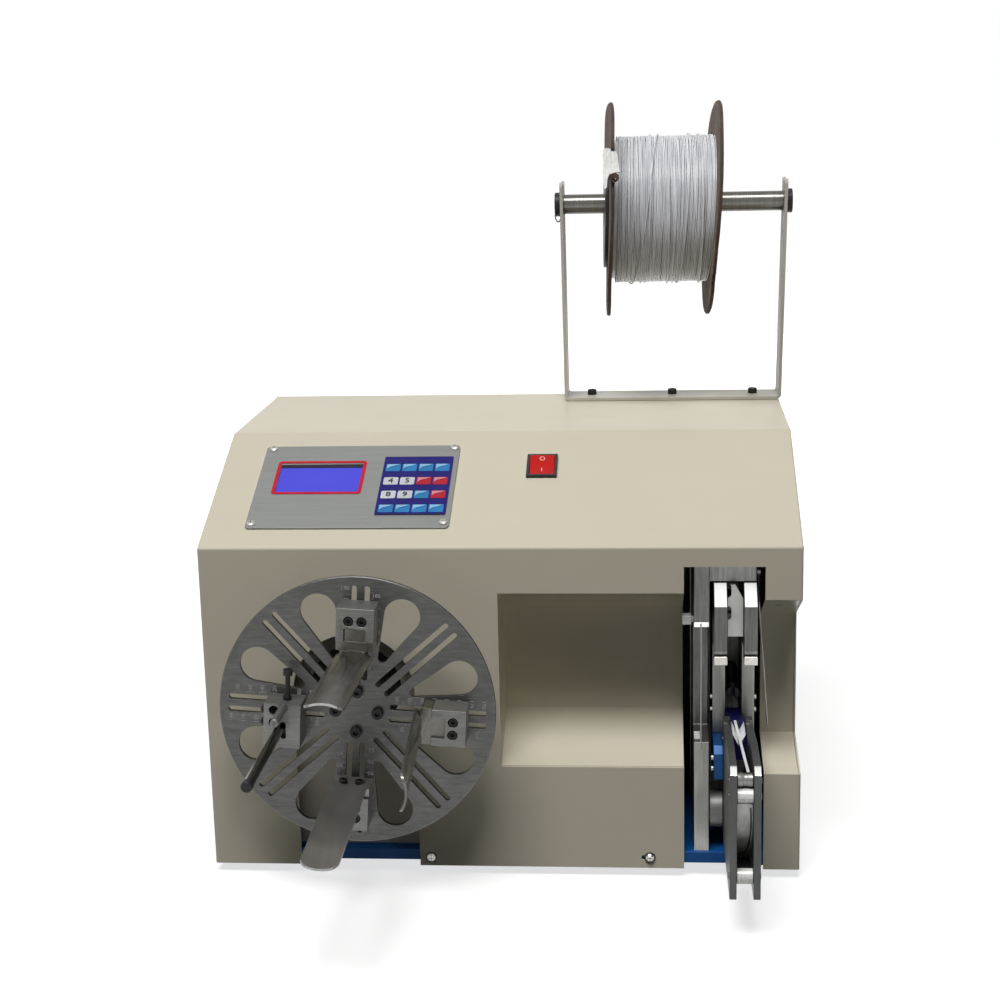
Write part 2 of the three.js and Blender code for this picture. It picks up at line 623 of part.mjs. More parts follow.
function rodParts() {
  const back = -disc.reach - gap;
  const rodAt = [-clampRod.t, rodClamp.inner + clampRod.inner];
  const tip = -disc.reach - clampRod.tip;
  const rod = cylinder('y', [tip, back - clampRod.root], rodAt, clampRod.radius, facets.small)
    .add(cylinder('y', [tip - gap, tip + clampRod.capLength], rodAt, clampRod.capRadius, facets.small));
  const pinAt = [clampPin.t, rodClamp.inner + clampPin.inner];
  const pin = cylinder('y', [back - clampBlock.depth - clampPin.tip, back - clampPin.root], pinAt, clampPin.radius,
    facets.small);
  const screwAt = [back - clampScrew.setback, rodClamp.inner + clampScrew.inner];
  const seat = rodClamp.high + gap;
  const profile = [[0, 0], [clampScrew.collar, 0], [clampScrew.collar, clampScrew.collar],
    [clampScrew.radius, clampScrew.collar], [clampScrew.radius, clampScrew.rise],
    [clampScrew.headRadius, clampScrew.rise], [clampScrew.headRadius, clampScrew.rise + clampScrew.headHeight],
    [0, clampScrew.rise + clampScrew.headHeight]];
  const screw = lathe(profile, facets.small).rotateZ(-Math.PI / 2).translate(seat, screwAt[0], screwAt[1]);
  return [
    piece('clamp_rod', rod, finish.steel),
    piece('clamp_pin', pin, finish.aluminium),
    piece('clamp_screw', toSolid(screw), finish.black),
  ];
}

function winder() {
  const group = new THREE.Group();
  group.position.set(discX, frontY, disc.rise);
  group.rotation.y = THREE.MathUtils.degToRad(disc.turn);
  group.add(piece('winding_disc', windingDisc(), finish.discGrey));
  group.add(piece('winding_hub', windingHub(), finish.darkSteel));
  const quarter = Math.PI / 2;
  Object.entries(clampReach).forEach(([side, inner], index) => {
    const clamp = new THREE.Group();
    clamp.rotation.y = index * quarter;
    clamp.add(piece(`clamp_block_${side}`, fingerBlock(inner), finish.aluminium));
    clamp.add(piece(`finger_${side}`, windingFinger(inner), finish.steel));
    group.add(clamp);
  });
  const cableClamp = new THREE.Group();
  cableClamp.rotation.y = -quarter;
  cableClamp.add(piece('clamp_block_left', rodBlock(), finish.aluminium));
  cableClamp.add(...rodParts());
  group.add(cableClamp);
  return group;
}

// Reel bracket, shaft and reel

function reelBracket() {
  const low = bracketFoot;
  const top = bracketFoot + bracket.rise;
  const outer = new THREE.Shape();
  outer.moveTo(bracketSpan[0] - splay.left, top);
  outer.lineTo(bracketSpan[0], low + bracket.bend);
  outer.absarc(bracketSpan[0] + bracket.bend, low + bracket.bend, bracket.bend, Math.PI, Math.PI * 3 / 2);
  outer.absarc(bracketSpan[1] - bracket.bend, low + bracket.bend, bracket.bend, -Math.PI / 2, 0);
  outer.lineTo(bracketSpan[1] + splay.right, top);
  const fold = bracket.bend - bracket.thickness;
  outer.lineTo(bracketSpan[1] + splay.right - bracket.thickness, top);
  outer.absarc(bracketSpan[1] - bracket.bend, low + bracket.bend, fold, 0, -Math.PI / 2, true);
  outer.absarc(bracketSpan[0] + bracket.bend, low + bracket.bend, fold, Math.PI * 3 / 2, Math.PI, true);
  outer.lineTo(bracketSpan[0] - splay.left + bracket.thickness, top);
  outer.closePath();
  const width = [bracketY - bracket.width / 2, bracketY + bracket.width / 2];
  const slotRadius = shaft.radius + gap;
  const tine = bracket.width / 2 - slotRadius;
  const side = new THREE.Shape();
  side.moveTo(width[0], low - overrun);
  side.lineTo(width[1], low - overrun);
  side.absarc(width[1] - tine / 2, top - tine / 2, tine / 2, 0, Math.PI);
  side.absarc(bracketY, shaftZ, slotRadius, 0, -Math.PI, true);
  side.absarc(width[0] + tine / 2, top - tine / 2, tine / 2, 0, Math.PI);
  side.closePath();
  return prismY(outer, width).intersect(prismX(side, [bracketSpan[0] - overrun, bracketSpan[1] + overrun]));
}

function ringX(outerRadius, bore, span, at, sides) {
  const hole = cylinder('x', [span[0] - overrun, span[1] + overrun], at, bore, sides);
  return cylinder('x', span, at, outerRadius, sides).subtract(hole);
}

// The reel's origin is its own centre line in the plane of the left flange's outer face.
class WoundLayer extends THREE.Curve {
  constructor(from, to, leanFrom, leanTo) {
    super();
    Object.assign(this, { from, to, leanFrom, leanTo });
    this.radius = winding.radius - winding.wire / 2;
    this.lead = winding.wire;
    this.wound = Math.PI * 2 * this.radius * winding.loops;
  }

  onHelix(share) {
    const angle = share * winding.loops * Math.PI * 2;
    const y = -Math.sin(angle) * this.radius;
    const z = Math.cos(angle) * this.radius;
    const lean = this.leanFrom + (this.leanTo - this.leanFrom) * share;
    return new THREE.Vector3(this.from + (this.to - this.from) * share + z * Math.tan(lean), y, z);
  }

  getPoint(t) {
    const distance = t * (this.wound + this.lead * 2) - this.lead;
    const share = THREE.MathUtils.clamp(distance / this.wound, 0, 1);
    const point = this.onHelix(share);
    const past = distance - share * this.wound;
    if (past !== 0) {
      const small = 1 / (winding.loops * winding.steps * winding.steps);
      const tangent = this.onHelix(share + small).sub(this.onHelix(share - small)).normalize();
      point.addScaledVector(tangent, past);
    }
    return point;
  }
}

// The least gap between loops of the wire, measured on points of its centre line.
function leastSelfGap(curve, diameter) {
  const perLoop = 48;
  const points = curve.getSpacedPoints(winding.loops * perLoop);
  let least = Infinity;
  for (let i = 0; i < points.length; i += 1) {
    for (let j = i + perLoop / 2; j < Math.min(points.length, i + perLoop * 2); j += 1) {
      least = Math.min(least, points[i].distanceTo(points[j]) - diameter);
    }
  }
  return least;
}

function tubeAlong(curve, radius, sides, steps) {
  const section = new THREE.Shape();
  for (let side = 0; side < sides; side += 1) {
    const angle = side * Math.PI * 2 / sides;
    const point = [Math.cos(angle) * radius, Math.sin(angle) * radius];
    if (side === 0) {
      section.moveTo(...point);
    } else {
      section.lineTo(...point);
    }
  }
  section.closePath();
  return new THREE.ExtrudeGeometry(section, { steps, extrudePath: curve, bevelEnabled: false });
}

function reelParts() {
  const group = new THREE.Group();
  group.position.set(reelX, bracketY, reelZ);
  const lean = { left: THREE.MathUtils.degToRad(reelTiltDegrees.left), right: THREE.MathUtils.degToRad(reelTiltDegrees.right) };
  const width = reel.width;
  const boreEnd = reel.flange + endDisc.thickness + overrun;
  const boreCut = cylinder('x', [-boreEnd, width + boreEnd], [0, 0], reel.bore);
  const slab = (radius, span, tilt) => {
    const middle = (span[0] + span[1]) / 2;
    return cylinder('x', [span[0] - middle, span[1] - middle], [0, 0], radius, facets.fine)
      .rotate([0, THREE.MathUtils.radToDeg(tilt), 0])
      .translate([middle, 0, 0]);
  };
  const flangeLeft = slab(reel.flangeRadius, [0, reel.flange], lean.left);
  const flangeRight = slab(reel.flangeRadius, [width - reel.flange, width], lean.right);
  const discLeft = slab(endDisc.radius, [-gap - endDisc.thickness, -gap], lean.left);
  const discRight = slab(endDisc.radius, [width + gap, width + gap + endDisc.thickness], lean.right);
  const chord = Math.cos(Math.PI / winding.steps);
  const coreRadius = (winding.radius - winding.wire / 2) * chord - winding.wire / 2 - gap;
  const leftCut = slab(reel.flangeRadius, [-reel.flangeRadius, reel.flange + gap], lean.left);
  const rightCut = slab(reel.flangeRadius, [width - reel.flange - gap, width + reel.flangeRadius], lean.right);
  const core = cylinder('x', [-overrun, width + overrun], [0, 0], coreRadius, facets.fine)
    .subtract(leftCut)
    .subtract(rightCut);
  const inset = reel.flange + gap + winding.wire;
  const layer = new WoundLayer(inset, width - inset, lean.left, lean.right);
  console.log('least gap between loops of the wire, mm:', leastSelfGap(layer, winding.wire).toFixed(2));
  const wire = tubeAlong(layer, winding.wire / 2, winding.sides, winding.loops * winding.steps);
  group.add(piece('reel_flange_left', flangeLeft.subtract(boreCut), finish.cardboard));
  group.add(piece('reel_flange_right', flangeRight.subtract(boreCut), finish.cardboard));
  group.add(piece('reel_disc_left', discLeft.subtract(boreCut), finish.black));
  group.add(piece('reel_disc_right', discRight.subtract(boreCut), finish.black));
  group.add(piece('reel_core', core.subtract(boreCut), finish.cardboard));
  group.add(piece('wound_wire', toSolid(wire), finish.wire));
  return group;
}

function reelStand() {
  const group = new THREE.Group();
  const at = [bracketY, shaftZ];
  group.add(piece('reel_bracket', reelBracket(), finish.cream));
  group.add(piece('reel_shaft', cylinder('x', [shaftSpan[0] + shaft.inset, shaftSpan[1] - shaft.inset], at,
    shaft.radius, facets.small),
    finish.chrome));
  group.add(piece('shaft_collar_left', ringX(collar.radius, shaft.radius + gap,
    [shaftSpan[0], shaftSpan[0] + collar.width], at, facets.small), finish.black));
  group.add(piece('shaft_collar_right', ringX(collar.radius, shaft.radius + gap,
    [shaftSpan[1] - collar.rightWidth, shaftSpan[1]], at, facets.small), finish.black));
  group.add(reelParts());
  return group;
}

// Tying head

function jawPlate(x) {
  const nose = frontY + head.nose;
  const throat = frontY + head.throat;
  const rear = frontY + head.rear;
  const shape = new THREE.Shape();
  shape.moveTo(throat, jaw.foot);
  shape.lineTo(rear, jaw.foot);
  shape.lineTo(rear, jaw.noseHigh + jaw.facet);
  shape.lineTo(nose + jaw.facet, jaw.noseHigh + jaw.facet);
  shape.lineTo(nose, jaw.noseHigh);
  shape.lineTo(nose, jaw.noseLow + jaw.round);
  shape.absarc(nose + jaw.round, jaw.noseLow + jaw.round, jaw.round, Math.PI, Math.PI * 3 / 2);
  shape.lineTo(throat, jaw.noseLow);
  shape.closePath();
  return prismX(shape, x);
}

function guideRail() {
  const nose = frontY + head.nose;
  const throat = frontY + head.throat;
  const low = base.thickness + gap;
  const points = [[nose, low], [frontY + head.rear, low], [frontY + head.rear, rail.rise], [nose, rail.rise],
    [nose, rail.throatHigh], [nose + jaw.round, rail.throatHigh - jaw.round],
    [throat, rail.throatHigh - jaw.round], [throat, rail.throatLow], [nose, rail.throatLow]];
  return prismX(outline(points), [railSpan[0], railSpan[1]]);
}

function slottedPlate() {
  const left = headX - jaw.space / 2 + wirePlate.side;
  const right = headX + jaw.space / 2 - wirePlate.side;
  const top = jaw.noseHigh + jaw.facet;
  const span = [frontY + wirePlate.setback, frontY + wirePlate.setback + wirePlate.thickness];
  let body = prismY(outline([[left, wirePlate.low], [right, wirePlate.low], [right, top - wirePlate.cut],
    [right - wirePlate.cut * wireCutShare, top], [left, top]]), span);
  for (const z of [wirePlateNotches.low, wirePlateNotches.low + wirePlateNotches.pitch]) {
    const shape = stadium(left, z - wirePlate.notchLength / 2, z + wirePlate.notchLength / 2,
      wirePlate.notchDepth * 2);
    body = body.subtract(prismY(shape, [span[0] - overrun, span[1] + overrun]));
  }
  return body;
}

function headFramePlate() {
  const front = frontY + head.rear + gap;
  const back = front + headFrame.thickness;
  const low = base.thickness + gap;
  const x = [slotSpan[0] + headFrame.leftRoom, slotSpan[1] - headFrame.rightRoom];
  const upright = block(x, [front, back], [low, headFrame.rise]);
  const footing = block(x, [back - lap, back + headFrame.foot], [low, low + headFrame.footThickness]);
  const bore = cylinder('y', [front - overrun, back + overrun], [headX, spindle.rise],
    spindle.radius + gap * 2, facets.small);
  return upright.add(footing).subtract(bore);
}

function throatKnuckle() {
  const x = [armX - arm.space / 2 + gap, armX + arm.space / 2 - gap];
  const rear = frontY + head.throat - gap;
  const body = block(x, [frontY + throatBlock.front, rear], [throatBlock.low, throatBlock.high]);
  const inner = [headX - jaw.space / 2 + gap, headX + jaw.space / 2 - gap];
  const tang = block(inner, [rear - lap, rear + throatBlock.tang], [jaw.foot, throatBlock.high]);
  const valley = throatBlock.high - throatBlock.grooveDepth;
  const grooveX = throatBlock.groove / 2;
  const groove = prismY(outline([[armX - grooveX, throatBlock.high + lap], [armX - lap, valley],
    [armX + lap, valley], [armX + grooveX, throatBlock.high + lap]]),
  [frontY + throatBlock.front - overrun, frontY + arm.pivotY - arm.pin * 2]);
  const pinSpan = [armX - armHalf + gap, armX + armHalf + gap + arm.pinHead];
  const pin = cylinder('x', pinSpan, [frontY + arm.pivotY, arm.pivotZ], arm.pin, facets.small);
  return body.add(tang).subtract(groove).add(pin);
}

function twistSpindle() {
  const from = frontY + spindle.front;
  const rear = frontY + head.rear + gap + headFrame.thickness;
  const rod = cylinder('y', [from, rear], [0, 0], spindle.radius, facets.small);
  const ring = cylinder('y', [from + spindle.hook, from + spindle.hook + spindle.collarWidth], [0, 0],
    spindle.collarRadius, facets.small);
  const cut = block([-spindle.hookWire, spindle.hookWire], [from - overrun, from + spindle.hook],
    [-overrun * 2, overrun * 2]);
  return rod.add(ring).subtract(cut);
}

function feedRoller() {
  const half = jaw.space / 2 - gap;
  const profile = [[0, -half], [feed.radius - feed.groove, -half], [feed.radius, feed.groove - half],
    [feed.radius, -feed.groove], [feed.radius - feed.groove, 0], [feed.radius, feed.groove],
    [feed.radius, half - feed.groove], [feed.radius - feed.groove, half], [0, half]];
  return toSolid(lathe(profile, facets.tiny).rotateZ(-Math.PI / 2));
}

function couplerBlock() {
  const right = armX - armHalf - gap;
  const span = [right - coupler.width, right];
  const front = frontY + coupler.front;
  const rear = frontY + coupler.rear;
  const high = jaw.foot - gap;
  return prismX(outline([[front, coupler.low], [rear, coupler.low], [rear, high], [front + coupler.bevel, high],
    [front, high - coupler.bevel]]), span);
}

function triggerWhisker() {
  const y = frontY + whisker.setback;
  const start = headRight + gap;
  const barrel = cylinder('x', [start, start + whisker.barrelWidth], [y, whisker.rise], whisker.barrelRadius,
    facets.small);
  const points = whiskerX.map((x, index) =>
    new THREE.Vector3(start + x, y, whisker.rise - whiskerDrop[index]));
  const curve = new THREE.CatmullRomCurve3(points);
  return barrel.add(toSolid(tubeAlong(curve, whisker.radius, winding.sides, whisker.steps)));
}

function tyingHead() {
  const group = new THREE.Group();
  const jawTop = jaw.noseHigh + jaw.facet;
  group.add(piece('jaw_left', jawPlate([headLeft, headLeft + jaw.thickness]), finish.steel));
  group.add(piece('jaw_right', jawPlate([headRight - jaw.thickness, headRight]), finish.steel));
  group.add(piece('guide_rail', guideRail(), finish.steel));
  group.add(piece('cross_block', block([railSpan[1] + gap, headRight],
    [frontY + crossBlock.setback, frontY + crossBlock.setback + crossBlock.depth],
    [jawTop + gap, jawTop + gap + crossBlock.height]), finish.darkSteel));
  group.add(piece('wire_plate', slottedPlate(), finish.aluminium));
  group.add(piece('head_frame', headFramePlate(), finish.steel));
  group.add(piece('throat_block', throatKnuckle(), finish.aluminium));
  group.add(piece('coupler_block', couplerBlock(), finish.anodised));
  group.add(piece('pivot_boss', cylinder('x', [railSpan[1] + gap, armX - armHalf - gap],
    [frontY + boss.setback, boss.rise], boss.radius), finish.aluminium));
  const spindlePiece = piece('twist_spindle', twistSpindle(), finish.steel);
  spindlePiece.position.set(headX, 0, spindle.rise);
  group.add(spindlePiece);
  const motorFront = frontY + head.rear + gap * 2 + headFrame.thickness;
  group.add(piece('twist_motor', cylinder('y', [motorFront, motorFront + twistMotor.length],
    [headX, spindle.rise], twistMotor.radius), finish.darkSteel));
  const rollerStep = feed.radius * 2 + feed.space;
  ['feed_roller_drive', 'feed_roller_idler'].forEach((name, index) => {
    const roller = piece(name, feedRoller(), finish.steel);
    roller.position.set(headX, frontY + feed.setback + index * rollerStep, feed.rise);
    group.add(roller);
  });
  group.add(piece('trigger_whisker', triggerWhisker(), finish.steel));
  return group;
}

// Guide arm

function armPlate(x) {
  const shape = new THREE.Shape();
  shape.moveTo(frontY + armFront.y, armFront.low);
  shape.lineTo(frontY + armRear.y, armRear.low);
  shape.lineTo(frontY + armRear.y, arm.pivotZ - arm.lobe);
  shape.absarc(frontY + arm.pivotY, arm.pivotZ, arm.lobe, -Math.PI / 8, Math.PI / 6);
  shape.lineTo(frontY + armTop.endY, armTop.landZ);
  shape.lineTo(frontY + armTop.landY, armTop.landZ);
  shape.lineTo(frontY + armTop.stepY, armTop.stepZ);
  shape.lineTo(frontY + armTop.kinkY, armTop.kinkZ);
  shape.lineTo(frontY + armFront.chamferY, armFront.chamferZ);
  shape.lineTo(frontY + armFront.y, armFront.high);
  shape.closePath();
  const hole = cylinder('x', [x[0] - overrun, x[1] + overrun], [frontY + arm.pivotY, arm.pivotZ], arm.pin + gap,
    facets.small);
  return prismX(shape, x).subtract(hole);
}

function guideBand() {
  const half = arm.space / 2 - gap;
  const x = [armX - half, armX + half];
  const y = frontY + band.endY;
  const pinY = frontY + armFront.y + band.pinSetback;
  const centre = band.pinHigh - band.pinRadius / 2;
  const shape = new THREE.Shape();
  shape.absarc(y, centre, band.radius, Math.PI, Math.PI * 3 / 2);
  shape.absarc(y, centre, band.radius - band.thickness, Math.PI * 3 / 2, Math.PI, true);
  shape.closePath();
  const pins = [band.pinHigh, band.pinLow].map((z) => cylinder('x', x, [pinY, z], band.pinRadius, facets.small));
  const middle = band.radius - band.thickness / 2;
  const webEnd = y - Math.sqrt(middle ** 2 - (centre - band.pinLow) ** 2);
  const web = block(x, [pinY, webEnd], [band.pinLow - band.thickness / 2, band.pinLow + band.thickness / 2]);
  return prismX(shape, x, facets.tiny).add(pins[0]).add(pins[1]).add(web);
}

function guideArm() {
  const group = new THREE.Group();
  const inner = arm.space / 2;
  group.add(piece('arm_plate_left', armPlate([armX - armHalf, armX - inner]), finish.darkSteel));
  group.add(piece('arm_plate_right', armPlate([armX + inner, armX + armHalf]), finish.darkSteel));
  group.add(piece('guide_band', guideBand(), finish.steel));
  group.add(piece('nose_roller', cylinder('x', [armX - inner + gap, armX + inner - gap],
    [frontY + armFront.y + noseRoller.setback, noseRoller.rise], noseRoller.radius, facets.small), finish.steel));
  const slant = Math.atan2(strip.frontRise - strip.rearRise, strip.rear - strip.front);
  const run = Math.hypot(strip.frontRise - strip.rearRise, strip.rear - strip.front);
  const tie = new THREE.BoxGeometry(strip.width, run, strip.thickness);
  const ribbon = piece('tie_strip', tie, finish.wire);
  ribbon.position.set(armX, frontY + (strip.rear + strip.front) / 2, (strip.rearRise + strip.frontRise) / 2);
  ribbon.rotation.set(-slant, 0, Math.atan2(strip.skew, run) * 2, 'ZXY');
  group.add(ribbon);
  return group;
}

const machine = new THREE.Group();
machine.add(housing(), controls(), windingDrive(), winder(), reelStand(), tyingHead(), guideArm());

export default machine;
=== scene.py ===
import json
import logging
from dataclasses import dataclass, field
from enum import Enum
from math import asin, atan2, cos, degrees, hypot, inf, pi, radians, sin, tan, tau
from typing import Iterable, Sequence

import bmesh
import bpy
from mathutils import Matrix, Vector
from mathutils.bvhtree import BVHTree


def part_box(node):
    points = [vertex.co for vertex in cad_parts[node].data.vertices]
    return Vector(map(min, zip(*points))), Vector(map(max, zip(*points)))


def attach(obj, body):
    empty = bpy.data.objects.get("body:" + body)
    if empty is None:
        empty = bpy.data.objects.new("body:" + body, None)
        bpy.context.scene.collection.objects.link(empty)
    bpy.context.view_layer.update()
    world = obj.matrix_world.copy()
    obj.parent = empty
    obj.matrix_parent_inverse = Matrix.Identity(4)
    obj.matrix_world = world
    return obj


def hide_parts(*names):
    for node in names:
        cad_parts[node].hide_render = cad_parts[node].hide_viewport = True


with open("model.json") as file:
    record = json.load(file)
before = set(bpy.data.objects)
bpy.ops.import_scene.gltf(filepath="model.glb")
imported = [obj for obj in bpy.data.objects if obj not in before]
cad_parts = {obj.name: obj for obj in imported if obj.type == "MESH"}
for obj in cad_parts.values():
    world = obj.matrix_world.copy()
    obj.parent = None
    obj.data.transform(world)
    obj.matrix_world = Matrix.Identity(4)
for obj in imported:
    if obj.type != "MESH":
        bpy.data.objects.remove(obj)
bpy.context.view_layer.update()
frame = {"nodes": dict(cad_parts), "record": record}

LOG = logging.getLogger("winding_machine")
BODY_OF = {node: body for body, nodes in frame["record"]["behaviour"]["bodies"].items() for node in nodes}

# Metres in a millimetre, the distance in metres at which points merge, and two angles in degrees
MM = 0.001
MERGE = 2e-6
SOFT_ANGLE = 34.0
FLAT_ANGLE = 0.5

# Degrees clockwise from the top clamp at which the four clamps stand
CLAMPS = {"top": 0, "right": 90, "bottom": 180, "left": 270}

Point = tuple[float, float, float]
Flat = tuple[float, float]
Edges = tuple[float, float, float, float]
Inputs = dict[str | int, object]
Solid = bpy.types.Object
Socket = bpy.types.NodeSocket
Drawing = bmesh.types.BMesh
Rings = Sequence[Sequence[bmesh.types.BMVert]]


class Axis(Enum):
    """The three axes of the frame."""

    X = 0
    Y = 1
    Z = 2

    def turn(self) -> Matrix:
        """Gives the turn that lays a shape drawn along Z along this axis."""
        if self is Axis.X:
            return Matrix.Rotation(radians(90), 4, "Y")
        if self is Axis.Y:
            return Matrix.Rotation(radians(-90), 4, "X")
        return Matrix.Identity(4)

    def point(self, at: float, flat: Flat) -> Point:
        """Gives the point that lies this far along the axis, with the two other coordinates in order."""
        parts = list(flat)
        parts.insert(self.value, at)
        return tuple(parts)


def srgb(red: float, green: float, blue: float, shade: float = 1.0, lift: float = 0.0) -> tuple[float, ...]:
    """Turns a colour written 0 to 255 into the linear one that a shader takes.

    Args:
        red: Red as seen.
        green: Green as seen.
        blue: Blue as seen.
        shade: A factor on the linear colour.
        lift: What is added to it after that.

    Returns:
        The linear colour with full alpha.
    """
    seen = [channel / 255 for channel in (red, green, blue)]
    linear = [c / 12.92 if c <= 0.04045 else ((c + 0.055) / 1.055) ** 2.4 for c in seen]
    return (*[min(1.0, c * shade + lift) for c in linear], 1.0)


# Node trees


class Tree:
    """Adds and links nodes in one tree."""

    def __init__(self, tree: bpy.types.NodeTree) -> None:
        """Takes the tree that the nodes go into."""
        self.tree = tree

    def fill(self, socket: Socket, value: object) -> None:
        """Links another socket to an input, or writes a plain value into it."""
        if isinstance(value, Socket):
            self.tree.links.new(value, socket)
        else:
            socket.default_value = value

    def node(self, kind: str, inputs: Inputs | None = None, **settings: object) -> bpy.types.Node:
        """Adds a node.

        Args:
            kind: The node's type name.
            inputs: Values or sockets, by input name or index.
            **settings: Properties of the node.

        Returns:
            The new node.
        """
        made = self.tree.nodes.new(kind)
        for key, value in settings.items():
            setattr(made, key, value)
        for key, value in (inputs or {}).items():
            self.fill(made.inputs[key], value)
        return made

    def out(self, kind: str, inputs: Inputs | None = None, **settings: object) -> Socket:
        """Adds a node in the same way and gives its first result."""
        return self.node(kind, inputs, **settings).outputs[0]

    def math(self, operation: str, first: object, second: object = 0.0) -> Socket:
        """Adds a math node and gives its result."""
        return self.out("ShaderNodeMath", {0: first, 1: second}, operation=operation)

    def times(self, first: object, second: object) -> Socket:
        """Multiplies two sockets or numbers."""
        return self.math("MULTIPLY", first, second)

    def plus(self, first: object, second: object) -> Socket:
        """Adds two sockets or numbers."""
        return self.math("ADD", first, second)

    def minus(self, first: object, second: object) -> Socket:
        """Takes the second from the first."""
        return self.math("SUBTRACT", first, second)

    def direct_ray(self) -> tuple[bpy.types.Node, Socket]:
        """Adds a light path, and gives it with a socket that is 1 for camera, gloss and transmission rays."""
        ray = self.node("ShaderNodeLightPath")
        seen = self.math("MAXIMUM", ray.outputs["Is Camera Ray"], ray.outputs["Is Glossy Ray"])
        return ray, self.math("MAXIMUM", seen, ray.outputs["Is Transmission Ray"])


class Graph(Tree):
    """The shader nodes of one material."""

    def __init__(self, name: str) -> None:
        """Starts a material of that name."""
        self.material = bpy.data.materials.new(name)
        self.material.use_nodes = True
        super().__init__(self.material.node_tree)
        self.surface = self.tree.nodes["Principled BSDF"]

    def place(self, scale: Point = (1, 1, 1), turn: Point = (0, 0, 0), centre: Point = (0, 0, 0)) -> Socket:
        """Reads object coordinates, in metres, through a mapping.

        Args:
            scale: How much a pattern is squeezed along each axis.
            turn: Turn about each axis, in degrees.
            centre: The point, in metres, that becomes the pattern's origin.

        Returns:
            The mapped vector.
        """
        coordinate = self.node("ShaderNodeTexCoord").outputs["Object"]
        moved = self.out("ShaderNodeVectorMath", {0: coordinate, 1: centre}, operation="SUBTRACT")
        angles = [radians(angle) for angle in turn]
        return self.out("ShaderNodeMapping", {"Vector": moved, "Rotation": angles, "Scale": scale})

    def noise(self, vector: Socket, scale: float, detail: float = 2.0, rough: float = 0.5) -> Socket:
        """Adds noise of that many cells per metre, with its octaves and how strong the finer ones are."""
        inputs = {"Vector": vector, "Scale": scale, "Detail": detail, "Roughness": rough}
        return self.out("ShaderNodeTexNoise", inputs)

    def ramp(self, value: Socket, low: float, high: float, ends: Flat = (0, 1)) -> Socket:
        """Maps a value to a grey.

        Args:
            value: The value that is mapped.
            low: The value at and under which the first end stands.
            high: The value at and over which the second end stands.
            ends: The two greys.

        Returns:
            The grey.
        """
        made = self.node("ShaderNodeValToRGB", {"Fac": value})
        for element, position, grey in zip(made.color_ramp.elements, (low, high), ends):
            element.position = position
            element.color = (grey, grey, grey, 1)
        return made.outputs["Color"]

    def patches(self, vector: Socket, fineness: Point, low: float, high: float) -> Socket:
        """Adds noise with that scale, detail and roughness, mapped to run from 0 at low to 1 at high."""
        return self.ramp(self.noise(vector, *fineness), low, high)

    def mix(self, factor: object, first: object, second: object) -> Socket:
        """Mixes two colours, with the factor as the share of the second."""
        return self.node("ShaderNodeMix", {0: factor, 6: first, 7: second}, data_type="RGBA").outputs[2]

    def bump(self, height: Socket, depth: float) -> None:
        """Adds relief over what the surface has.

        Args:
            height: The pattern.
            depth: Its depth in millimetres.
        """
        made = self.node("ShaderNodeBump", {"Height": height, "Distance": depth * MM})
        before = self.surface.inputs["Normal"]
        if before.is_linked:
            self.tree.links.new(before.links[0].from_socket, made.inputs["Normal"])
        self.tree.links.new(made.outputs["Normal"], before)

    def set(self, **values: object) -> None:
        """Sets the surface shader's inputs, written with underscores for spaces."""
        for key, value in values.items():
            self.fill(self.surface.inputs[key.replace("_", " ")], value)


# Kinds of finish


@dataclass(frozen=True)
class Finish:
    """A finish of the machine: its name and the record's slot that it stands for."""

    name: str
    slot: str

    def paint(self, graph: Graph) -> None:
        """Fills the material's graph."""
        raise NotImplementedError

    def material(self) -> bpy.types.Material:
        """Gives the finish's material, made once."""
        made = bpy.data.materials.get(self.name)
        if made is None:
            graph = Graph(self.name)
            self.paint(graph)
            made = graph.material
        return made


@dataclass(frozen=True)
class BakedPaint(Finish):
    """Sprayed and baked paint on sheet: slight orange peel, faint mottle and dust in the grain."""

    colour: Point = (214, 207, 187)
    roughness: float = 0.38
    peel: float = 0.012
    grime: float = 0.05
    coat: float = 0.01
    specular: float = 0.15

    def paint(self, graph: Graph) -> None:
        """Fills the material's graph."""
        place = graph.place()
        mottle = graph.patches(place, (9.0, 4.0, 0.6), 0.3, 0.72)
        speck = graph.patches(place, (620.0, 2.0, 0.6), 0.66, 0.74)
        clean = graph.mix(mottle, srgb(*self.colour), srgb(*self.colour, 1 - self.grime))
        dusty = graph.mix(graph.times(speck, 0.5), clean, srgb(*self.colour, 1 - self.grime * 2.4))
        rough = graph.plus(graph.times(graph.noise(place, 30.0, 3.0), 0.16), self.roughness - 0.08)
        graph.set(Base_Color=dusty, Roughness=rough, Specular_IOR_Level=self.specular)
        graph.set(Coat_Weight=self.coat, Coat_Roughness=0.2)
        graph.bump(graph.noise(place, 420.0), self.peel)
        graph.bump(graph.noise(place, 1900.0), self.peel * 0.4)


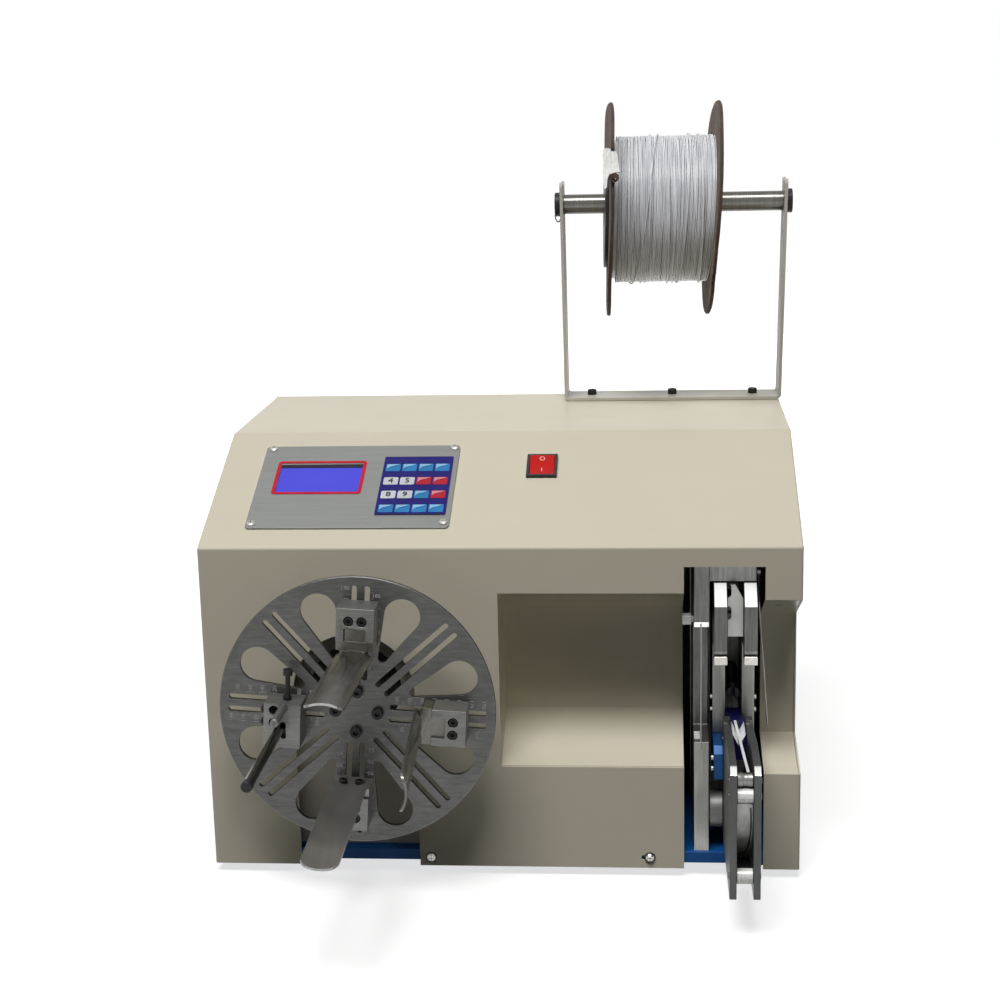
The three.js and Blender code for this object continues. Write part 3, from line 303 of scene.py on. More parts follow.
@dataclass(frozen=True)
class WorkedMetal(Finish):
    """Metal with the fine parallel marks of grinding, milling or brushing, a few scratches and smudges."""

    colour: Point = (150, 151, 150)
    bright: Point = (190, 190, 188)
    roughness: float = 0.34
    grain: Point = (30, 900, 900)
    turn: Point = (0, 0, 0)
    depth: float = 0.01
    smudge: float = 0.35
    metallic: float = 1.0
    fine: float = 5.0

    def paint(self, graph: Graph) -> None:
        """Fills the material's graph."""
        base, bright = srgb(*self.colour), srgb(*self.bright)
        lines = graph.noise(graph.place(self.grain, self.turn), 1.0, 5.0, 0.65)
        cloud = graph.patches(graph.place(), (26.0, self.fine, 0.62), 0.34, 0.7)
        cross = tuple(part * 0.33 for part in self.grain)
        scratch = graph.ramp(graph.noise(graph.place(cross, (24, 31, self.turn[2] + 38)), 1.0), 0.69, 0.72)
        streaked = graph.mix(graph.ramp(lines, 0.25, 0.75), base, bright)
        smeared = graph.mix(graph.times(cloud, self.smudge), streaked, srgb(*self.colour, 0.72))
        worn = graph.mix(graph.times(scratch, 0.3), smeared, bright)
        rough = graph.plus(graph.times(cloud, 0.14), self.roughness - 0.06)
        rough = graph.plus(rough, graph.times(lines, 0.08))
        graph.set(Base_Color=worn, Metallic=self.metallic, Roughness=rough)
        graph.bump(lines, self.depth)


@dataclass(frozen=True)
class Moulded(Finish):
    """Moulded plastic or rubber: fine spark-eroded texture and faint handling marks."""

    colour: Point = (24, 24, 25)
    roughness: float = 0.5
    texture: float = 0.02
    fineness: float = 1400.0
    clear: float = 0.0
    specular: float = 0.4

    def paint(self, graph: Graph) -> None:
        """Fills the material's graph."""
        place = graph.place()
        cloud = graph.noise(place, 40.0, 4.0, 0.6)
        handled = graph.mix(graph.ramp(cloud, 0.4, 0.8), srgb(*self.colour), srgb(*self.colour, 1.25, 0.004))
        graph.set(Base_Color=handled, Roughness=graph.plus(graph.times(cloud, 0.2), self.roughness - 0.1))
        graph.set(Coat_Weight=self.clear, Specular_IOR_Level=self.specular)
        graph.bump(graph.noise(place, self.fineness), self.texture)


@dataclass(frozen=True)
class PressedBoard(Finish):
    """Brown pressed board: fibres, darker flecks, rubbed pale patches and layers along its edge."""

    colour: Point = (112, 94, 80)
    pale: Point = (158, 142, 126)

    def paint(self, graph: Graph) -> None:
        """Fills the material's graph."""
        place = graph.place()
        deep = srgb(*self.colour, 0.55)
        fibre = graph.noise(graph.place((900, 160, 160), (12, 0, 0)), 1.0, 6.0, 0.7)
        rubbed = graph.patches(place, (34.0, 5.0, 0.68), 0.5, 0.68)
        fleck = graph.patches(place, (380.0, 3.0, 0.7), 0.6, 0.68)
        base = graph.mix(graph.ramp(fibre, 0.3, 0.7), deep, srgb(*self.colour))
        base = graph.mix(graph.times(rubbed, 0.55), base, srgb(*self.pale))
        graph.set(Base_Color=graph.mix(graph.times(fleck, 0.4), base, deep), Roughness=0.92)
        graph.bump(fibre, 0.12)
        graph.bump(graph.noise(place, 600.0, 4.0), 0.08)


@dataclass(frozen=True)
class CoatedWire(Finish):
    """White plastic-coated tie wire: slightly milky, with a satin skin and greyer rubbed lengths."""

    colour: Point = (240, 241, 244)
    shade: Point = (200, 202, 208)

    def paint(self, graph: Graph) -> None:
        """Fills the material's graph."""
        grey = graph.patches(graph.place((420, 12, 12)), (1.0, 3.0, 0.6), 0.36, 0.66)
        graph.set(Base_Color=graph.mix(grey, srgb(*self.shade), srgb(*self.colour)))
        graph.set(Roughness=graph.plus(graph.times(grey, 0.1), 0.24), Coat_Weight=0.15, Coat_Roughness=0.18)
        graph.set(Subsurface_Weight=0.08, Subsurface_Radius=(0.002, 0.002, 0.002), Subsurface_Scale=0.3)
        graph.bump(graph.noise(graph.place(), 900.0), 0.015)


@dataclass(frozen=True)
class Lit(Finish):
    """A lit plastic or glass face: a colour that glows from behind, brighter at its middle."""

    colour: Point = (50, 50, 150)
    glow: Point = (84, 84, 244)
    strength: float = 0.58
    roughness: float = 0.2
    centre: Point = (0, 0, 0)
    reach: float = 0.05

    def paint(self, graph: Graph) -> None:
        """Fills the material's graph."""
        away = graph.node("ShaderNodeVectorMath", {0: graph.place(centre=self.centre)}, operation="LENGTH")
        fall = graph.ramp(graph.math("DIVIDE", away.outputs["Value"], self.reach), 0.0, 1.0, (1, 0))
        grain = graph.noise(graph.place(), 1500.0)
        level = graph.plus(graph.times(fall, 0.5), graph.times(grain, 0.1))
        graph.set(Base_Color=graph.mix(grain, srgb(*self.colour), srgb(*self.colour, 0.8)))
        graph.set(Emission_Color=graph.mix(level, srgb(*self.glow, 0.75), srgb(*self.glow)))
        graph.set(Emission_Strength=self.strength, Roughness=self.roughness, Specular_IOR_Level=0.12)
        graph.set(Coat_Weight=0.03, Coat_Roughness=0.06)


def ink(tone: str, colour: Point, texture: float = 0.006) -> Moulded:
    """Gives a colour that is printed on the keypad's film."""
    return Moulded(f"screen_printed_{tone}", "keypad_film", colour, 0.4, texture, specular=0.1)


def key_print(tone: str, colour: Point) -> Moulded:
    """Gives a colour of the keypad's keys."""
    return Moulded(f"printed_key_{tone}", "keypad_film", colour, 0.38, 0.006, specular=0.12)


# Finishes of this machine

UPRIGHT_GRAIN = (500, 500, 24)
EVEN_GRAIN = (300, 300, 300)

CREAM = BakedPaint("cream_baked_paint", "cream_paint")
COARSE_CREAM = BakedPaint("cream_paint_coarse", "cream_paint", roughness=0.3, peel=0.06)
BRACKET_PAINT = BakedPaint("bracket_paint_satin", "bracket_paint", (196, 193, 182), 0.42, grime=0.09)
BLUE = BakedPaint("blue_baked_paint", "blue_paint", (18, 84, 152), 0.34, grime=0.1)
PORT_PLATE = BakedPaint("bracket_primer_matt", "aluminium", (196, 192, 176), 0.6, grime=0.14, coat=0.0)
MOTOR_BLACK = BakedPaint("motor_black_paint", "motor_black", (34, 34, 36), 0.48, grime=0.15)

BRUSHED_PLATE = WorkedMetal("brushed_control_plate", "plate_steel", (126, 128, 126), (142, 143, 141), 0.42,
                            (14, 1100, 1100), depth=0.004, smudge=0.12, metallic=0.75)
GROUND_STEEL = WorkedMetal("ground_steel", "steel", (90, 91, 89), (140, 140, 137), 0.36, UPRIGHT_GRAIN,
                           depth=0.012)
# Paler milled steel for the rib and the guide band, also used as the painted reflection of the floor on the
# lower rail and the jaws.
PALE_STEEL_AND_REFLECTION = WorkedMetal("pale_steel_and_painted_reflection", "steel", (112, 113, 110), (150, 150, 146), 0.38,
                          UPRIGHT_GRAIN, depth=0.012)
DARK_STEEL = WorkedMetal("dark_ground_steel", "steel", (72, 73, 72), (112, 113, 111), 0.38, UPRIGHT_GRAIN)
PALE_PLATE = WorkedMetal("pale_wire_plate", "aluminium", (146, 147, 144), (168, 168, 165), 0.44,
                         (60, 500, 60), depth=0.008, smudge=0.15)
DISC_STEEL = WorkedMetal("ground_disc_steel", "disc_steel", (66, 67, 66), (92, 92, 90), 0.36, (60, 60, 420),
                         (0, 28, 0), depth=0.006, smudge=0.25)
MILLED = WorkedMetal("milled_aluminium", "aluminium", (98, 99, 96), (132, 132, 129), 0.4, (40, 700, 700),
                     depth=0.012, metallic=0.65)
BLADE_STEEL = WorkedMetal("bent_blade_steel", "steel", (104, 102, 96), (128, 126, 120), 0.22, (260, 10, 260),
                          depth=0.001, smudge=0.9, metallic=0.92, fine=1.0)
# Painted light: the same blade steel drawn paler and less metallic for the lower finger, where it catches
# more light.
LIGHTER_LIT_BLADE = WorkedMetal("lighter_lit_blade_steel", "steel", (128, 126, 120), (150, 148, 142), 0.34, (90, 10, 90),
                         depth=0.001, smudge=1.0, metallic=0.55, fine=1.0)
# Painted highlight: the disc's rounded edges, drawn far paler than its face where they catch the light.
PAINTED_EDGE_HIGHLIGHT = WorkedMetal("lit_block_edge", "aluminium", (150, 151, 148), (190, 190, 187), 0.3, EVEN_GRAIN,
                       depth=0.002, smudge=0.1)
ARM_GREY = WorkedMetal("dark_arm_metal", "arm_grey", (66, 68, 67), (88, 90, 88), 0.42, (160, 160, 30),
                       depth=0.004, smudge=0.2, metallic=0.45)
CHROME = WorkedMetal("polished_shaft", "shaft_chrome", (84, 82, 78), (112, 110, 106), 0.16, (900, 20, 20),
                     depth=0.002, smudge=0.1)
BLACK_OXIDE = WorkedMetal("black_oxide", "screw_black", (22, 22, 23), (36, 36, 37), 0.4, EVEN_GRAIN,
                          smudge=0.2, metallic=0.6)
# Bright zinc for the screws, also used as the painted reflection band round the jaws' noses.
BRIGHT_ZINC_AND_REFLECTION = WorkedMetal("zinc_and_painted_reflection", "steel", (172, 170, 162), (208, 206, 200), 0.3, EVEN_GRAIN,
                           depth=0.006)
ANODISED = WorkedMetal("anodised_block_blue", "blue_anodised", (2, 62, 116), (8, 84, 146), 0.42,
                       (400, 60, 400), depth=0.006, smudge=0.2, metallic=0.3)
# Painted highlight: near-white, barely metallic steel on the fingers' rims and front ends and on the guide
# band's upturned facets, where they catch the light.
RIM_HIGHLIGHT = WorkedMetal("painted_highlight_rim", "steel", (214, 214, 210), (242, 242, 238), 0.28, EVEN_GRAIN,
                         depth=0.001, smudge=0.05, metallic=0.1)
FACET = WorkedMetal("machined_facet", "steel", (244, 244, 240), (253, 253, 251), 0.16, EVEN_GRAIN,
                    depth=0.001, smudge=0.02)

RUBBER = Moulded("foot_rubber_matt", "foot_rubber", (30, 30, 30), 0.85, 0.04, 900.0)
# Black moulded plastic, also used for the painted shadow line on the guide band.
BLACK_PLASTIC_AND_SHADOW = Moulded("black_plastic_and_painted_shadow", "black_plastic", (26, 26, 27), 0.42)
# White plastic for the tie strip and the stop block, also used as painted highlight on the throat's groove
# faces and the rail's bars.
WHITE_PLASTIC_AND_HIGHLIGHT = Moulded("white_plastic_and_painted_highlight", "tie_wire", (232, 233, 232), 0.36, 0.006)
BOARD_GREEN = Moulded("green_board", "board_green", (24, 86, 46), 0.45, 0.02, 700.0, 0.3)
NAVY = Moulded("throat_nylon_navy", "blue_anodised", (20, 18, 74), 0.45, 0.01)
MARK_GREY = Moulded("etched_scale_mark", "disc_steel", (176, 176, 172), 0.6, 0.004, specular=0.2)
MARK_PINK = Moulded("lit_switch_mark", "red_plastic", (255, 190, 180), 0.5, 0.004, specular=0.2)
# Dark print for the key figures, also used for the display's painted shadow strip.
DARK_INK_AND_SHADE = ink("dark", (38, 34, 46), 0.004)
INK_NAVY = ink("navy", (32, 27, 106))
INK_RED = ink("red", (192, 30, 50))
KEY_BLUE = key_print("blue", (48, 122, 180))
KEY_PALE_BLUE = key_print("pale_blue", (140, 188, 218))
KEY_RED = key_print("red", (176, 36, 52))
KEY_PALE_RED = key_print("pale_red", (218, 136, 146))
KEY_WHITE = key_print("white", (196, 198, 202))

CARDBOARD = PressedBoard("pressed_board", "reel_cardboard", (128, 113, 100), (160, 148, 136))
BOARD_EDGE = PressedBoard("pressed_board_edge", "reel_cardboard", (84, 66, 56), (112, 92, 78))
PALE_BOARD = PressedBoard("torn_board_ply", "reel_cardboard", (250, 249, 246), (255, 255, 253))
WIRE = CoatedWire("white_coated_wire", "tie_wire")


# Mesh making, drawn in millimetres


def into_scene(name: str, data: bpy.types.ID) -> Solid:
    """Makes an object of that name from its data, in the scene."""
    made = bpy.data.objects.new(name, data)
    bpy.context.scene.collection.objects.link(made)
    return made


def to_mesh(bm: Drawing, name: str) -> bpy.types.Mesh:
    """Writes a drawn mesh to a new one of that name and frees it."""
    mesh = bpy.data.meshes.new(name)
    bm.to_mesh(mesh)
    bm.free()
    return mesh


def to_object(bm: Drawing, name: str, angle: float = SOFT_ANGLE, outward: bool = True) -> Solid:
    """Makes a finished object, in metres, from a mesh drawn in millimetres.

    Args:
        bm: The mesh, which is freed.
        name: The object's name.
        angle: Edges sharper than this stay sharp, in degrees.
        outward: Whether faces are turned outwards first.

    Returns:
        The object, at the origin.
    """
    bmesh.ops.remove_doubles(bm, verts=bm.verts, dist=MERGE / MM)
    if outward:
        bmesh.ops.recalc_face_normals(bm, faces=bm.faces)
    bmesh.ops.scale(bm, vec=(MM, MM, MM), verts=bm.verts)
    mesh = to_mesh(bm, name)
    mesh.shade_smooth()
    mesh.set_sharp_from_angle(angle=radians(angle))
    return into_scene(name, mesh)


def evaluated(source: Solid) -> bpy.types.Mesh:
    """Gives a plain mesh of an object as its modifiers leave it."""
    bpy.context.view_layer.update()
    return bpy.data.meshes.new_from_object(source.evaluated_get(bpy.context.evaluated_depsgraph_get()))


def applied(source: Solid) -> Solid:
    """Turns an object with modifiers into a plain mesh of its own, and gives it back."""
    mesh = evaluated(source)
    mesh.name = source.name
    source.modifiers.clear()
    source.data = mesh
    return source


def flattened(bm: Drawing) -> None:
    """Merges a mesh in metres and joins the slivers of its flat faces, so that they shade flat."""
    bmesh.ops.remove_doubles(bm, verts=bm.verts, dist=MERGE)
    bmesh.ops.dissolve_limit(bm, angle_limit=radians(FLAT_ANGLE), verts=bm.verts, edges=bm.edges)


def whole_faces(source: Solid) -> Solid:
    """Makes an object's flat faces whole."""
    bm = bmesh.new()
    bm.from_mesh(source.data)
    flattened(bm)
    bm.to_mesh(source.data)
    bm.free()
    return source


def softened(source: Solid, edge: float, segments: int = 2, angle: float = SOFT_ANGLE,
             rim: int = -1) -> Solid:
    """Rounds an object's edges and evens its shading.

    Args:
        source: The object.
        edge: How far an edge is rounded, in millimetres.
        segments: Faces across a rounded edge.
        angle: Edges flatter than this stay.
        rim: The material slot that the rounded edges get, or -1 for their faces' own.

    Returns:
        The same object.
    """
    bevel = source.modifiers.new("edge", "BEVEL")
    bevel.width = edge * MM
    bevel.segments = segments
    bevel.limit_method = "ANGLE"
    bevel.angle_limit = radians(angle)
    bevel.harden_normals = True
    bevel.material = rim
    bevel.miter_outer = "MITER_ARC"
    return applied(source)


def cad_copy(node: str, whole: bool = True) -> Solid:
    """Copies a CAD node's mesh, merged.

    Args:
        node: The CAD node.
        whole: Whether its flat faces are made whole.

    Returns:
        The copy, at the origin.
    """
    bm = bmesh.new()
    bm.from_mesh(frame["nodes"][node].data)
    if whole:
        flattened(bm)
    else:
        bmesh.ops.remove_doubles(bm, verts=bm.verts, dist=MERGE)
    bmesh.ops.scale(bm, vec=(1 / MM, 1 / MM, 1 / MM), verts=bm.verts)
    return to_object(bm, f"{node}_shown", outward=False)


def place_mesh(source: Solid, matrix: Matrix) -> Solid:
    """Moves an object's mesh by a matrix written in millimetres."""
    shift = matrix.copy()
    shift.translation *= MM
    source.data.transform(shift)
    return source


def rectangle(left: float, right: float, low: float, high: float) -> list[Flat]:
    """Gives the outline of a rectangle between its four edges."""
    return [(left, low), (right, low), (right, high), (left, high)]


def arc(centre: Flat, radius: float, start: float, sweep: float, steps: int) -> list[Flat]:
    """Gives points of an arc, both ends among them, that starts and runs as far as said in radians."""
    turns = [start + sweep * step / steps for step in range(steps + 1)]
    return [(centre[0] + radius * cos(turn), centre[1] + radius * sin(turn)) for turn in turns]


def rounded_rectangle(edges: Edges, radius: float) -> list[Flat]:
    """Gives the outline of a rectangle with round corners.

    Args:
        edges: Its left, right, low and high edge.
        radius: Its corners' radius.

    Returns:
        Its points.
    """
    left, right, low, high = edges
    points: list[Flat] = []
    for quarter, (side, end) in enumerate(((1, 1), (-1, 1), (-1, -1), (1, -1))):
        x = (left + right) / 2 + side * ((right - left) / 2 - radius)
        y = (low + high) / 2 + end * ((high - low) / 2 - radius)
        points += arc((x, y), radius, pi / 2 * quarter, pi / 2, 6)
    return points


def middle_box(width: float, height: float, middle: Flat = (0, 0)) -> Edges:
    """Gives the four edges of a rectangle from its sizes and its centre."""
    return (middle[0] - width / 2, middle[0] + width / 2, middle[1] - height / 2, middle[1] + height / 2)


def bridged(bm: Drawing, rings: Rings) -> list[bmesh.types.BMFace]:
    """Joins each closed ring of points to the next with a band of faces.

    Args:
        bm: The mesh.
        rings: The rings, each with as many points.

    Returns:
        The new faces, band by band.
    """
    faces = []
    for first, second in zip(rings, rings[1:]):
        for index in range(len(first)):
            after = (index + 1) % len(first)
            faces.append(bm.faces.new([first[index], first[after], second[after], second[index]]))
    return faces


def prism(outline: Sequence[Flat], span: Flat, axis: Axis, name: str) -> Solid:
    """Draws a closed outline and stretches it along an axis.

    Args:
        outline: Points of the outline: (y, z) along X, (x, z) along Y, (x, y) along Z.
        span: Where it starts and ends on the axis.
        axis: The axis.
        name: The object's name.

    Returns:
        The solid.
    """
    bm = bmesh.new()
    rings = [[bm.verts.new(axis.point(at, flat)) for flat in outline] for at in span]
    for ring in rings:
        bm.faces.new(ring)
    bridged(bm, rings)
    return to_object(bm, name)


def swept(bm: Drawing, rings: Rings, name: str, angle: float) -> Solid:
    """Makes a closed solid from the rings along its length, with its ends shut."""
    bridged(bm, rings)
    bm.faces.new(rings[0])
    bm.faces.new(rings[-1])
    return to_object(bm, name, angle)


def turned(profile: Sequence[Flat], centre: Point, axis: Axis, name: str, sides: int = 64) -> Solid:
    """Turns a profile round an axis, as on a lathe.

    Args:
        profile: Pairs of radius and distance along the axis, from one end to the other.
        centre: The point that distances are measured from.
        axis: The axis.
        name: The object's name.
        sides: Steps round it.

    Returns:
        The solid, closed where its profile starts and ends on the axis or on itself.
    """
    bm = bmesh.new()
    verts = [bm.verts.new((radius, 0.0, height)) for radius, height in profile]
    edges = [bm.edges.new((first, second)) for first, second in zip(verts, verts[1:])]
    bmesh.ops.spin(bm, geom=verts + edges, cent=(0, 0, 0), axis=(0, 0, 1), angle=tau, steps=sides,
                   use_merge=True)
    bmesh.ops.transform(bm, matrix=Matrix.Translation(centre) @ axis.turn(), verts=bm.verts)
    bmesh.ops.remove_doubles(bm, verts=bm.verts, dist=MERGE / MM)
    return to_object(bm, name, 30.0)


def barrel(radius: float, length: float, edge: float, groove: Sequence[Flat] = ()) -> list[Flat]:
    """Gives the profile of a round bar with bevelled ends, and with a groove's points between them."""
    start = [(0, 0), (radius - edge, 0), (radius, edge)]
    return [*start, *groove, (radius, length - edge), (radius - edge, length), (0, length)]


def cut(body: Solid, tools: Iterable[Solid]) -> Solid:
    """Cuts tools out of a body and removes them.

    Args:
        body: The solid that is cut.
        tools: The solids that are taken out of it.

    Returns:
        The body.
    """
    for tool in tools:
        modifier = body.modifiers.new("cut", "BOOLEAN")
        modifier.operation = "DIFFERENCE"
        modifier.solver = "EXACT"
        modifier.object = tool
        applied(body)
        bpy.data.objects.remove(tool)
    body.data.set_sharp_from_angle(angle=radians(SOFT_ANGLE))
    return body


def joined(parts: Sequence[Solid], name: str) -> Solid:
    """Puts several objects' meshes in one, with their materials.

    Args:
        parts: The objects, which are removed.
        name: The new object's name.

    Returns:
        The one object.
    """
    bm = bmesh.new()
    materials: list[bpy.types.Material] = []
    for part in parts:
        own = [slot.material for slot in part.material_slots]
        materials += [material for material in own if material not in materials]
        before = len(bm.faces)
        bm.from_mesh(part.data)
        bm.faces.ensure_lookup_table()
        for face in bm.faces[before:]:
            face.material_index = materials.index(own[face.material_index]) if own else 0
        bpy.data.objects.remove(part)
    mesh = to_mesh(bm, name)
    for material in materials:
        mesh.materials.append(material)
    return into_scene(name, mesh)


def lettering(text: str, height: float, depth: float, matrix: Matrix, name: str) -> Solid:
    """Makes raised figures as a mesh.

    Args:
        text: The figures.
        height: Their height.
        depth: How far they stand up.
        matrix: Their place: they are drawn in X and Y, centred, and rise along Z.
        name: The object's name.

    Returns:
        The mesh object.
    """
    curve = bpy.data.curves.new(name, "FONT")
    curve.body = text
    curve.size = height * 1.38
    curve.extrude = depth / 2
    curve.align_x = "CENTER"
    curve.align_y = "CENTER"
    curve.resolution_u = 3
    drawn = into_scene(name, curve)
    mesh = evaluated(drawn)
    bpy.data.objects.remove(drawn)
    bm = bmesh.new()
    bm.from_mesh(mesh)
    bpy.data.meshes.remove(mesh)
    bmesh.ops.transform(bm, matrix=matrix @ Matrix.Translation((0, 0, depth / 2)), verts=bm.verts)
    return to_object(bm, name)


def smooth_line(points: Sequence[Point], steps: int) -> list[Point]:
    """Rounds a line through its points.

    Args:
        points: The points.
        steps: Steps between two of them.

    Returns:
        The rounded line.
    """
    line: list[Point] = []
    known = [Vector(point) for point in points]
    for index in range(len(known) - 1):
        before = known[max(index - 1, 0)]
        start, end = known[index], known[index + 1]
        after = known[min(index + 2, len(known) - 1)]
        for step in range(steps):
            share = step / steps
            a = -share ** 3 + 2 * share ** 2 - share
            b = 3 * share ** 3 - 5 * share ** 2 + 2
            c = -3 * share ** 3 + 4 * share ** 2 + share
            d = share ** 3 - share ** 2
            line.append(tuple((before * a + start * b + end * c + after * d) / 2))
    line.append(tuple(known[-1]))
    return line


def tube(points: Sequence[Point], radius: float, name: str, sides: int = 10) -> Solid:
    """Sweeps a round section along points, with closed ends.

    Args:
        points: The line that it follows.
        radius: Its radius.
        name: The object's name.
        sides: Sides of its section.

    Returns:
        The solid.
    """
    bm = bmesh.new()
    rings = []
    line = [Vector(point) for point in points]
    side = Vector((0, 1, 0)).cross(line[1] - line[0])
    side = side.normalized() if side.length > MERGE else Vector((1, 0, 0))
    for index, at in enumerate(line):
        ahead = (line[min(index + 1, len(line) - 1)] - line[max(index - 1, 0)]).normalized()
        side = (side - ahead * side.dot(ahead)).normalized()
        other = ahead.cross(side)
        turns = [tau * step / sides for step in range(sides)]
        rings.append([bm.verts.new(at + (side * cos(turn) + other * sin(turn)) * radius)
                      for turn in turns])
    return swept(bm, rings, name, 60)


# Pieces on their bodies


def coloured(source: Solid, *finishes: Finish) -> Solid:
    """Gives an object the materials of finishes, in their order, and gives it back."""
    for finish in finishes:
        source.data.materials.append(finish.material())
    return source


def fitted(source: Solid, finish: Finish, replaces: str = "", body: str = "machine_frame") -> Solid:
    """Gives a piece its finish, its body and the CAD node that it stands for.

    Args:
        source: The piece.
        finish: Its finish, kept off a piece that has its materials.
        replaces: The CAD node that it stands for, and whose body it then moves with.
        body: The CAD body that it moves with otherwise.

    Returns:
        The piece.
    """
    if not source.data.materials:
        coloured(source, finish)
    body = BODY_OF.get(replaces, body)
    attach(source, body)
    if replaces:
        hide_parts(replaces)
    LOG.info("%s on %s: %d faces", source.name, body, len(source.data.polygons))
    return source


def dressed(node: str, finish: Finish, edge: float = 0.3, segments: int = 2) -> Solid:
    """Shows a CAD node with softened edges, rounded by that many millimetres, and a finish."""
    return fitted(softened(cad_copy(node), edge, segments), finish, node)


def two_tone(node: str, finish: Finish, edge: float, way: Point, bright: Finish = FACET,
             least: float = 0.9, below: float = -inf, tip: Point = (0, 0, 0), rim: int = -1,
             reach: float = inf) -> Solid:
    """Shows a CAD node in one finish, with the faces that point one way in a bright finish, which on the
    fingers and the guide band is a painted highlight.

    Args:
        node: The CAD node.
        finish: Its main finish.
        edge: How far its edges are rounded, in millimetres.
        way: Where its machined facets face.
        bright: The facets' finish.
        least: How nearly a face has to point that way.
        below: The height below which it is drawn in paler steel, a painted reflection of the floor.
        tip: How the facets' shading is tipped, as on a slightly crowned facet.
        rim: 1 where the rounded edges are bright too, or -1.
        reach: How far behind its front end a facet may lie.

    Returns:
        The piece that stands for the node.
    """
    made = softened(coloured(cad_copy(node), finish, bright, PALE_STEEL_AND_REFLECTION), edge, 3, rim=rim)
    mesh = made.data
    deep = min(vertex.co.y for vertex in mesh.vertices) + reach * MM
    normals = [Vector(corner.vector) for corner in mesh.corner_normals]
    for face in mesh.polygons:
        if face.normal.dot(Vector(way)) > least and face.center.y < deep:
            face.material_index = 1
            for corner in face.loop_indices:
                normals[corner] = (normals[corner] + Vector(tip)).normalized()
        elif face.center.z < below * MM:
            face.material_index = 2
    mesh.normals_split_custom_set(normals)
    return fitted(made, finish, node)


def surface_at(node: str, start: Point, way: Point) -> tuple[Vector, Vector]:
    """Finds where a ray meets a CAD node.

    Args:
        node: The CAD node.
        start: Where the ray starts, in millimetres.
        way: Its direction.

    Returns:
        The point in millimetres, and the face's normal.
    """
    mesh = frame["nodes"][node].data
    corners = [vertex.co for vertex in mesh.vertices]
    tree = BVHTree.FromPolygons(corners, [face.vertices for face in mesh.polygons])
    point, normal, _, _ = tree.ray_cast(Vector(start) * MM, Vector(way))
    return point / MM, normal


def box_mm(node: str) -> tuple[Vector, Vector]:
    """Gives a CAD node's lowest and highest corner in millimetres."""
    low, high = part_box(node)
    return low / MM, high / MM


def round_place(node: str, axis: Axis) -> tuple[Point, float, float]:
    """Finds how a round CAD node lies.

    Args:
        node: The CAD node.
        axis: The axis that it is round about.

    Returns:
        The middle of its first end, its length and its radius.
    """
    low, high = box_mm(node)
    start = [(first + last) / 2 for first, last in zip(low, high)]
    start[axis.value] = low[axis.value]
    across = (axis.value + 2) % 3
    return tuple(start), high[axis.value] - low[axis.value], (high[across] - low[across]) / 2


def lathed(node: str, axis: Axis, profile: Sequence[Flat], finish: Finish, sides: int = 64) -> Solid:
    """Shows a round CAD node as a profile turned round its axis in that many steps."""
    return fitted(turned(profile, round_place(node, axis)[0], axis, f"{node}_shown", sides), finish, node)


# Geometry Nodes


